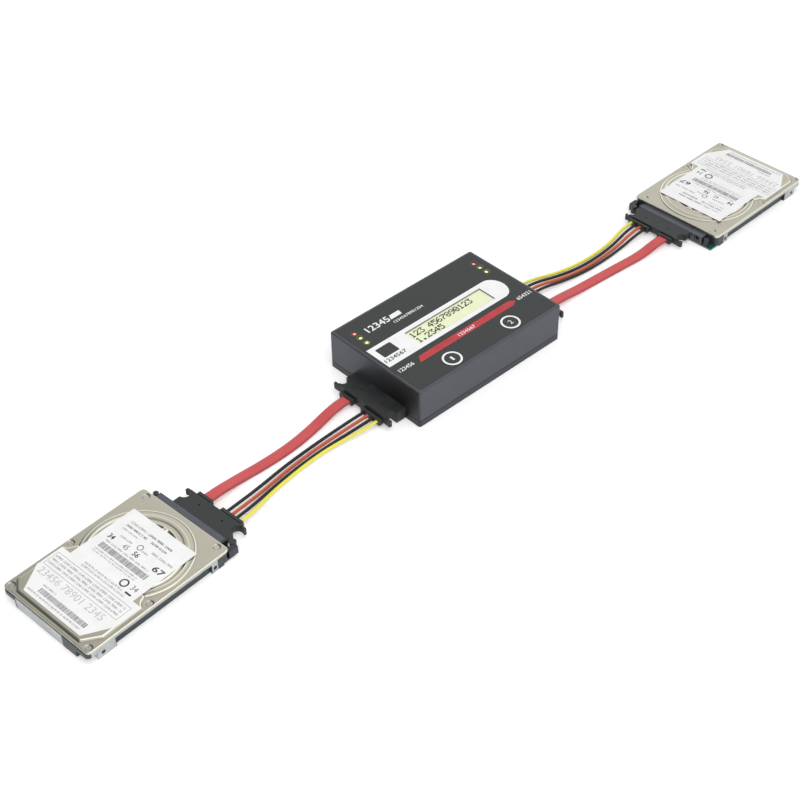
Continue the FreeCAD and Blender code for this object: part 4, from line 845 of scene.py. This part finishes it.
class DUPLICATOR_OT_display(bpy.types.Operator):
    """Lights the display glass and sets two rows of figures in dots"""

    bl_idname = "duplicator.display"
    bl_label = "Display"

    def execute(self, context):
        s = context.scene.duplicator_display
        # Lit liquid-crystal glass: even yellow-green, its unlit cells a breath darker.
        glass, tree, shader = finish("lit_display_glass", {"Roughness": 0.18, "IOR": 1.5,
                                                           "Emission Color": tone(s.lit),
                                                           "Emission Strength": 0.12})
        feed(shader, "Base Color", between(tree, grain(tree, 6), tone(s.lit, 0.95), tone(s.lit)))
        dress(glass, "lcd_glass", "lcd_backlight")
        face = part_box("front_overlay")[1].z - s.set_back
        low, high = window()
        plates("display_picture", [oblong(low.x, high.x, low.y, high.y)], face, glass, "duplicator")
        # The frame's shadow on the glass along the top and the right end.
        edge = [oblong(low.x, high.x, high.y - FRAME_SHADOW, high.y),
                oblong(high.x - FRAME_SHADOW, high.x, low.y, high.y - FRAME_SHADOW)]
        shaded = ink("shaded_glass", "#b9bda6", "#c4c8b0")
        plates("display_edge", edge, face + PRINT_LIFT, shaded, "duplicator")
        start = (low + high) / 2 + FIRST_DOT
        dots = []
        for row, words in enumerate(DISPLAY_ROWS):
            for column, character in enumerate(words):
                if character != " ":
                    dots += self.character(DOT_DIGITS[character], start.x + column * s.character,
                                           start.y - row * s.row, s.dot)
        crystal = ink("dark_crystal", s.dark, tone(s.dark, 0.8))
        plates("display_dots", dots, face + PRINT_LIFT, crystal, "duplicator")
        return {"FINISHED"}

    def character(self, rows, x, y, pitch):
        """Squares for the lit dots of one figure, each a little larger where no dot follows it to the right
        or below; a row is five bits, the highest on the left."""
        bits = np.array([[int(code, 16) >> (4 - i) & 1 for i in range(5)] for code in rows.split()])
        free = np.pad(bits, ((0, 1), (0, 1))) == 0
        squares = []
        for i, j in np.argwhere(bits):
            wide = pitch * (DOT_GROWTH if free[i, j + 1] else 1.0)
            tall = pitch * (DOT_GROWTH if free[i + 1, j] and free[i + 1, j + 1] else 1.0)
            squares.append(oblong(x + j * pitch, x + j * pitch + wide, y - i * pitch - tall, y - i * pitch))
        return squares


# ---------------------------------------------------------------- connectors
EARS_FROM = 26.0 * MM


class DUPLICATOR_OT_connectors(bpy.types.Operator):
    """Gives the plugs, receptacles and drive strips their finish"""

    bl_idname = "duplicator.connectors"
    bl_label = "Connectors"

    def execute(self, context):
        # Glass-filled nylon: dull black-grey with a dry, slightly uneven skin.
        nylon = mottled("glass_filled_nylon", "#262929", "#2f3233", (0.5, 0.62), 5, 0.05, fine=0.6)[0]
        for side in SIDES:
            dress(nylon, side + "_plug", side + "_receptacle")
            # Liquid-crystal polymer strip on the drive: smoother and bluer than the nylon, darker ears.
            strip, tree, shader = mottled(side + "_connector_polymer", "#484b54", "#51545d", (0.35, 0.45), 6,
                                          0.02)
            across = add(tree, "ShaderNodeMath", {0: drive_axes(tree, side)[1]}, operation="ABSOLUTE")
            ears = add(tree, "ShaderNodeMath", {0: across, 1: EARS_FROM}, operation="GREATER_THAN")
            plain = shader.inputs["Base Color"].links[0].from_socket
            feed(shader, "Base Color", between(tree, ears, plain, tone("#25272c"), 0, 1))
            dress(strip, side + "_drive_connector")
        return {"FINISHED"}


# ---------------------------------------------------------------- drives
# Places on a drive run along it from the lid's connector edge and across it from its middle line.
PLATEAU = np.array([(-52.0, -27.0), (-52.0, 27.0), (-58.6, 32.6), (-89.0, 32.6), (-94.6, 25.5),
                    (-94.6, -25.5), (-84.3, -32.6), (-58.6, -32.6)]) * MM
BITE_PLACE = (-53.7 * MM, 33.0 * MM)
BITE_RADIUS = 4.3 * MM
# Radius in millimetres and share of the rise, all round the disc and on its connector side.
DISC_PROFILE = ((0, 1), (26.2, 1), (27.3, 0.15), (28.6, 0.75), (30.3, 0.35), (31.4, 0.5), (32.4, 0))
FRONT_PROFILE = ((0, 1), (22.6, 1), (23.5, 0.7), (25.0, 0.62), (26.4, 0.8), (27.8, 0.8), (29.3, 0.42),
                 (30.7, 0.36), (31.5, 0.48), (32.4, 0))
# Borders, each with the width of its slope: the connector side in degrees, then the pockets beside the label.
FRONT_ARC = (64, 8)
POCKET_INNER = (15.0 * MM, 3.0 * MM)
POCKET_OUTER = (22.6 * MM, 0.9 * MM)
POCKET_ENDS = (11.6 * MM, 1.2 * MM)
POCKET_GAP = (1.4 * MM, 0.8 * MM)
POCKET_DEPTH = 0.9
LID_SCREWS = ((-3.6, 28.7), (-53.7, 32.2), (-93.6, 31.6))
WELL = (2.05 * MM, 0.3 * MM)
WELL_DEPTH = 0.9 * MM
LID_EDGE = 0.35 * MM
LID_CORNER = 2.5 * MM
# Loops of the lid's rolled edge in degrees and of its side wall as shares of the way down, and their folds,
# which set the painted highlight there.
EDGE_TURNS = (22, 45, 67, 90)
WALL_LEVELS = (0.3, 0.65, 1.0)
LOOP_FOLDS = (0.9, 1.0, 1.0, 0.8, 0.1, 0.3, 1.0)
FULL_FOLD = 0.15


def ease(value):
    """0 to 1 with a soft start and end."""
    value = np.clip(value, 0, 1)
    return value * value * (3 - 2 * value)


def beyond(value, border, slope):
    """0 up to a border and 1 past its slope, eased between."""
    return ease((value - border) / slope)


def within(value, border, slope):
    """1 well below a border and 0 from it on, eased over a slope."""
    return ease((border - value) / slope)


def inside(x, y, outline):
    """Distance from x, y to the nearest side of a convex outline, above zero inside it."""
    nearest = np.full_like(x, np.inf)
    for (x0, y0), (x1, y1) in zip(outline, np.roll(outline, -1, axis=0)):
        run = math.hypot(x1 - x0, y1 - y0)
        nearest = np.minimum(nearest, ((x1 - x0) * (y - y0) - (y1 - y0) * (x - x0)) / run)
    return nearest


def profile(radius, turns):
    """A curve over the radius through (millimetres, height) turning points, eased between them."""
    at, heights = np.array(turns, float).T * [[MM], [1]]
    i = np.clip(np.searchsorted(at, radius) - 1, 0, len(at) - 2)
    share = ease((radius - at[i]) / (at[i + 1] - at[i]))
    return heights[i] + (heights[i + 1] - heights[i]) * share


def lid_height(x, y, settings):
    """Height of the stamping above the rim at x, y in drive coordinates, in metres.
    The plateau rises by e(d / bevel), d being the distance inside its outline and e(t) = t*t*(3 - 2t).
    The disc follows a profile over the radius, eased between its turning points: rings and troughs go all
    round it, and two more arcs only on the connector side. The higher of the two counts. Round bites for
    the lid's middle screws and two pockets beside the label are taken out with the same easing."""
    plateau = ease(inside(x, y, PLATEAU) / settings.bevel)
    for side in (-1, 1):
        plateau *= beyond(np.hypot(x - BITE_PLACE[0], y - side * BITE_PLACE[1]), BITE_RADIUS, settings.bevel)
    dx, dy = x - settings.disc_x, y - settings.disc_y
    radius = np.hypot(dx, dy)
    front = within(np.abs(np.degrees(np.arctan2(dy, dx))), *FRONT_ARC)
    disc = profile(radius, DISC_PROFILE) * (1 - front) + profile(radius, FRONT_PROFILE) * front
    pocket = beyond(radius, *POCKET_INNER) * within(radius, *POCKET_OUTER) * front
    pocket *= within(np.abs(dy), *POCKET_ENDS) * beyond(np.abs(dy - POCKET_GAP[0]), *POCKET_GAP)
    return settings.rise * np.maximum(plateau, disc - POCKET_DEPTH * pocket)


def wells(x, y, height):
    """The same height with a round well sunk below the rim round each screw head: the height runs to the
    well's floor as e((2.05 - r) / 0.3), r being the distance from the screw in millimetres."""
    for along, across in LID_SCREWS:
        for side in (-1, 1):
            well = within(np.hypot(x - along * MM, y - side * across * MM), *WELL)
            height = height * (1 - well) - WELL_DEPTH * well
    return height


class DUPLICATOR_OT_drive_lids(bpy.types.Operator):
    """Replaces each drive's lid by a stamped one with soft relief"""

    bl_idname = "duplicator.drive_lids"
    bl_label = "Drive lids"

    def execute(self, context):
        s = context.scene.duplicator_drives
        steel = self.steel(s)
        for side in SIDES:
            self.lid(side, steel, s)
        return {"FINISHED"}

    def steel(self, s):
        # Stainless steel sheet, stamped and bead-blasted: warm silver, with a painted highlight along its
        # outward folds and rolled edge, and painted shade in its inward folds.
        material, tree, shader = finish("stamped_stainless_steel", {"Metallic": 1.0})
        cloud = grain(tree, 12)
        fold = add(tree, "ShaderNodeAttribute", attribute_name="fold").outputs["Fac"]
        plain = between(tree, cloud, tone(s.steel, 0.93), tone(s.steel))
        # Painted highlight where the fold is above zero, then painted shade where it is below zero.
        lit = between(tree, fold, plain, tone(s.bright), 0.05, 1.0)
        fold_shade = add(tree, "ShaderNodeMath", {0: fold, 1: -1.0}, operation="MULTIPLY")
        feed(shader, "Base Color", between(tree, fold_shade, lit, tone(s.shade), 0.25, 2.2))
        texture(tree, shader, 0.8, 0.03, 2.0, cloud, (0.3, 0.38))
        return material

    def lid(self, side, steel, s):
        """A closed plate: a grid over the rounded rectangle carries the relief, and loops round its edge
        roll down the edge radius and the side wall to one flat face below. Its fold attribute is above
        zero where the stamping curves outwards and below zero where it curves inwards."""
        node = side + "_drive_lid"
        low, high = (corner.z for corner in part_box(node))
        rows, columns = round(LID_LENGTH / s.mesh_step), round(LID_WIDTH / s.mesh_step)
        half_x, half_y, r = LID_LENGTH / 2 - LID_EDGE, LID_WIDTH / 2 - LID_EDGE, LID_CORNER - LID_EDGE
        y = np.linspace(-1, 1, columns) * half_y
        over = np.clip(np.abs(y) - (half_y - r), 0, r)
        reach = half_x - (r - np.sqrt(np.maximum(r ** 2 - over ** 2, 0)))
        x = np.linspace(-1, 1, rows)[:, None] * reach
        y = np.broadcast_to(y, x.shape)
        height = lid_height(x - LID_LENGTH / 2, y, s)
        sunk = wells(x - LID_LENGTH / 2, y, height)
        grid = np.stack([x, y, high - s.rise + sunk], -1).reshape(-1, 3)
        i, j = np.arange(rows), np.arange(columns)
        loop = np.concatenate([i * columns, (rows - 1) * columns + j[1:], i[-2::-1] * columns + columns - 1,
                               j[-2:0:-1]])
        loops = self.skirt(grid[loop], (half_x - r, half_y - r), low)
        points = np.concatenate([grid] + loops)
        points[:, 0] -= LID_LENGTH / 2
        rings = [loop] + [len(grid) + k * len(loop) + np.arange(len(loop)) for k in range(len(loops))]
        faces = quads(rows, columns).tolist()
        for a, b in zip(rings, rings[1:]):
            faces += np.column_stack([np.roll(a, -1), a, b, np.roll(b, -1)]).tolist()
        faces.append(rings[-1][::-1].tolist())
        obj = piece(side + "_stamped_lid", points, faces, steel, side + "_drive", drive_frame(side),
                    smooth=True)
        # The fold attribute places the steel's painted highlight above zero and its painted shade below zero.
        fold = np.concatenate([self.curve(height, s).ravel(), np.repeat(LOOP_FOLDS, len(loop))])
        obj.data.attributes.new("fold", "FLOAT", "POINT").data.foreach_set("value", fold)
        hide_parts(node)

    def skirt(self, rim, corner, low):
        """Loops that carry the grid's rim outwards round the edge radius and down to the lid's underside."""
        out = rim[:, :2] - np.clip(rim[:, :2], np.negative(corner), corner)
        out /= np.linalg.norm(out, axis=1)[:, None]
        loops = []
        for turn in np.radians(EDGE_TURNS):
            flat = rim[:, :2] + out * LID_EDGE * math.sin(turn)
            loops.append(np.column_stack([flat, rim[:, 2] - LID_EDGE * (1 - math.cos(turn))]))
        for level in WALL_LEVELS:
            loops.append(np.column_stack([flat, rim[:, 2] + (low - rim[:, 2]) * level]))
        return loops

    def curve(self, height, s):
        """How much each point stands above the mean of its neighbours, from -1 to 1."""
        padded = np.pad(height, 2, mode="edge")
        ways = ((0, 2), (4, 2), (2, 0), (2, 4))
        rows, columns = height.shape
        mean = sum(padded[a:a + rows, b:b + columns] for a, b in ways) / 4
        return np.clip((height - mean) / (FULL_FOLD * s.rise), -1, 1)


# Rows of the label: weight, then near and far side from the label's near edge, start and end across.
LABEL_ROWS = (
    ("grey", 6.7, 8.3, 18.9, 5.4), ("black", 6.7, 8.3, 4.3, -14.3), ("black", 9.9, 11.4, 18.9, 6.1),
    ("black", 9.9, 11.4, 5.4, 2.5), ("black", 9.9, 11.4, -1.1, -13.2), ("grey", 13.1, 14.1, 18.9, 6.1),
    ("grey", 14.7, 16.2, -6.8, -23.2), ("grey", 17.5, 18.8, 15.4, 6.1), ("grey", 17.5, 18.8, -1.8, -6.8),
    ("black", 20.2, 23.6, 20.5, 16.2), ("grey", 20.2, 23.6, 8.6, 4.8), ("black", 20.2, 23.6, 0.4, -3.8),
    ("black", 19.9, 23.9, -15.8, -23.8), ("grey", 24.9, 26.1, 18.9, -15.4), ("grey", 32.4, 33.4, 19.3, -15.0),
    ("grey", 34.2, 35.0, 19.3, -15.0), ("grey", 36.6, 40.0, -17.6, -22.0), ("grey", 42.7, 44.0, 14.6, -15.6),
    ("grey", 44.9, 46.2, 14.6, -19.6), ("grey", 49.7, 51.2, 29.6, -26.8), ("grey", 52.4, 53.9, 29.6, -26.8),
    ("grey", 55.1, 56.5, 29.6, -26.8), ("pale", 59.8, 64.4, 28.9, -23.2), ("grey", 67.4, 68.6, 18.2, 7.9),
    ("grey", 74.2, 75.4, 22.9, -19.6),
)


# Ink of each weight and how bold its figures are.
LABEL_INKS = {"black": ("#2c2c30", 0.02), "grey": ("#606068", 0.0), "pale": ("#cfcfd2", 0.0)}
LABEL_NEAR = -14.7
FIGURE_SHAPE = 0.8
# Rings: from the near edge, across, inner and outer radius. Then a dash, stacks of bars and a table.
LABEL_RINGS = ((39.1, -12.5, 1.9, 2.8), (17.1, 0.4, 1.5, 1.95))
LABEL_DASH = (42.3, 43.4, -17.5, -22.0)
BAR_STACKS = ((27.3, 31.2, 18.9, -18.9), (69.8, 73.0, 16.8, -20.7))
BAR_WIDTHS = (0.3, 0.45, 0.7)
BAR_GAPS = (0.25, 0.4)
TABLE = (48.0, 58.4, 30.7, -28.9)
TABLE_LINE = 0.22
# Electrocoat lies on a casting where every test of any one row holds; places are in millimetres.
COAT = (
    (("along", "GREATER_THAN", -79.2), ("along", "LESS_THAN", -12.8), ("out", "LESS_THAN", 33.6)),
    (("along", "GREATER_THAN", -79.2), ("along", "LESS_THAN", -12.8), ("above", "LESS_THAN", 6.5)),
    (("along", "GREATER_THAN", -8.6),),
    (("along", "LESS_THAN", -94.5), ("across", "LESS_THAN", -14.0)),
    (("along", "LESS_THAN", -94.5), ("across", "GREATER_THAN", 24.0)),
)


def on_label(near, far, start, end):
    """Low and high edges along and across a drive, in metres, of a place given like a row of the label."""
    return (LABEL_NEAR - far) * MM, (LABEL_NEAR - near) * MM, end * MM, start * MM


class DUPLICATOR_OT_drive_bodies(bpy.types.Operator):
    """Finishes the cast bases, boards and labels of the drives"""

    bl_idname = "duplicator.drive_bodies"
    bl_label = "Drive bodies"

    def execute(self, context):
        laminate = solder_mask("solder_mask_teal", "#1d5552", "#2a6f69")
        for side in SIDES:
            self.label(side)
            dress(laminate, side + "_drive_board")
            dress(self.casting(side), side + "_drive_base")
        return {"FINISHED"}

    def label(self, side):
        """Plain figures, bars, a table, rings and a dash in dark and pale inks on the label."""
        place, body, name = drive_frame(side), side + "_drive", side + "_label_"
        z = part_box(side + "_drive_label")[1].z + PRINT_LIFT
        plates(name + "bars", self.bars(), z, ink(name + "ink_bars", "#7c7c86", "#72727c"), body, place)
        for weight, (code, bold) in LABEL_INKS.items():
            shade = ink(name + "ink_" + weight, code, tone(code, 0.85))
            rows = []
            for count, (own, near, far, start, end) in enumerate(LABEL_ROWS):
                if own == weight:
                    many = max(2, round((start - end) / (FIGURE_SHAPE * (far - near))))
                    words = ("1234567890" * 8)[count % 7:][:many]
                    words = " ".join(words[i:i + 5] for i in range(0, many, 5))
                    rows.append((words, LABEL_NEAR - far, LABEL_NEAR - near, end, start, bold))
            figures(name + "figures_" + weight, rows, z, shade, body, place)
            if weight == "black":
                marks = [face for near, across, inner, outer in LABEL_RINGS
                         for face in annulus((LABEL_NEAR - near) * MM, across * MM, inner * MM,
                                             outer * MM, 32)]
                plates(name + "marks", marks + [oblong(*on_label(*LABEL_DASH))], z, shade, body, place)

    def bars(self):
        """Two stacks of bars of uneven width, and the thin outline of a table."""
        rng = np.random.default_rng(7)
        out = []
        for near, far, start, end in BAR_STACKS:
            while start > end + BAR_WIDTHS[-1]:
                wide = rng.choice(BAR_WIDTHS)
                out.append(oblong(*on_label(near, far, start, start - wide)))
                start -= wide + rng.choice(BAR_GAPS)
        near, far, start, end = TABLE
        for edge in ((near, far, end + TABLE_LINE, end), (near, far, start, start - TABLE_LINE),
                     (far - TABLE_LINE, far, start - TABLE_LINE, end + TABLE_LINE),
                     (near, near + TABLE_LINE, start - TABLE_LINE, end + TABLE_LINE)):
            out.append(oblong(*on_label(*edge)))
        return out

    def casting(self, side):
        # Die-cast aluminium: pale grey machined lugs, black electrocoat left in the recesses and at the ends.
        material, tree, shader = finish(side + "_cast_aluminium", {})
        coated = self.coated(tree, side)
        cloud = grain(tree, 7)
        metal = between(tree, cloud, tone("#a7aaac"), tone("#c4c7c8"))
        coat = between(tree, cloud, tone("#2c3338"), tone("#3a4246"))
        feed(shader, "Base Color", between(tree, coated, metal, coat, 0, 1))
        feed(shader, "Metallic", add(tree, "ShaderNodeMath", {0: 1.0, 1: coated}, operation="SUBTRACT"))
        texture(tree, shader, 0.7, 0.04, 2.0, cloud, (0.36, 0.5))
        return material

    def coated(self, tree, side):
        """1 where the electrocoat lies and 0 on bare metal."""
        along, across, above = drive_axes(tree, side)
        out = add(tree, "ShaderNodeMath", {0: across}, operation="ABSOLUTE")
        places = {"along": along, "across": across, "above": above, "out": out}
        total = 0.0
        for row in COAT:
            share = 1.0
            for way, operation, millimetres in row:
                test = add(tree, "ShaderNodeMath", {0: places[way], 1: millimetres * MM}, operation=operation)
                share = add(tree, "ShaderNodeMath", {0: share, 1: test}, operation="MULTIPLY")
            total = add(tree, "ShaderNodeMath", {0: total, 1: share}, operation="MAXIMUM")
        return total


# ---------------------------------------------------------------- panel and registration
class DUPLICATOR_PT_panel(bpy.types.Panel):
    """Sidebar panel that lists every step"""

    bl_idname = "DUPLICATOR_PT_panel"
    bl_label = "Drive duplicator"
    bl_space_type = "VIEW_3D"
    bl_region_type = "UI"
    bl_category = "Duplicator"

    def draw(self, context):
        for operator in OPERATORS:
            self.layout.operator(operator.bl_idname)
        for name in SETTINGS:
            group = getattr(context.scene, name)
            box = self.layout.box()
            for prop in group.__annotations__:
                box.prop(group, prop)


OPERATORS = (DUPLICATOR_OT_stage, DUPLICATOR_OT_cords, DUPLICATOR_OT_case, DUPLICATOR_OT_film_print,
             DUPLICATOR_OT_display, DUPLICATOR_OT_connectors, DUPLICATOR_OT_drive_lids,
             DUPLICATOR_OT_drive_bodies)
SETTINGS = {"duplicator_stage": StageSettings, "duplicator_cords": CordSettings,
            "duplicator_print": PrintSettings, "duplicator_display": DisplaySettings,
            "duplicator_drives": DriveSettings}


def register():
    for cls in (*SETTINGS.values(), *OPERATORS, DUPLICATOR_PT_panel):
        bpy.utils.register_class(cls)
    for name, group in SETTINGS.items():
        setattr(bpy.types.Scene, name, PointerProperty(type=group))


def unregister():
    for name in SETTINGS:
        delattr(bpy.types.Scene, name)
    for cls in (DUPLICATOR_PT_panel, *reversed(OPERATORS), *SETTINGS.values()):
        bpy.utils.unregister_class(cls)


def main():
    register()
    for operator in OPERATORS:
        group, name = operator.bl_idname.split(".")
        getattr(getattr(bpy.ops, group), name)()


if __name__ == "__main__":
    main()
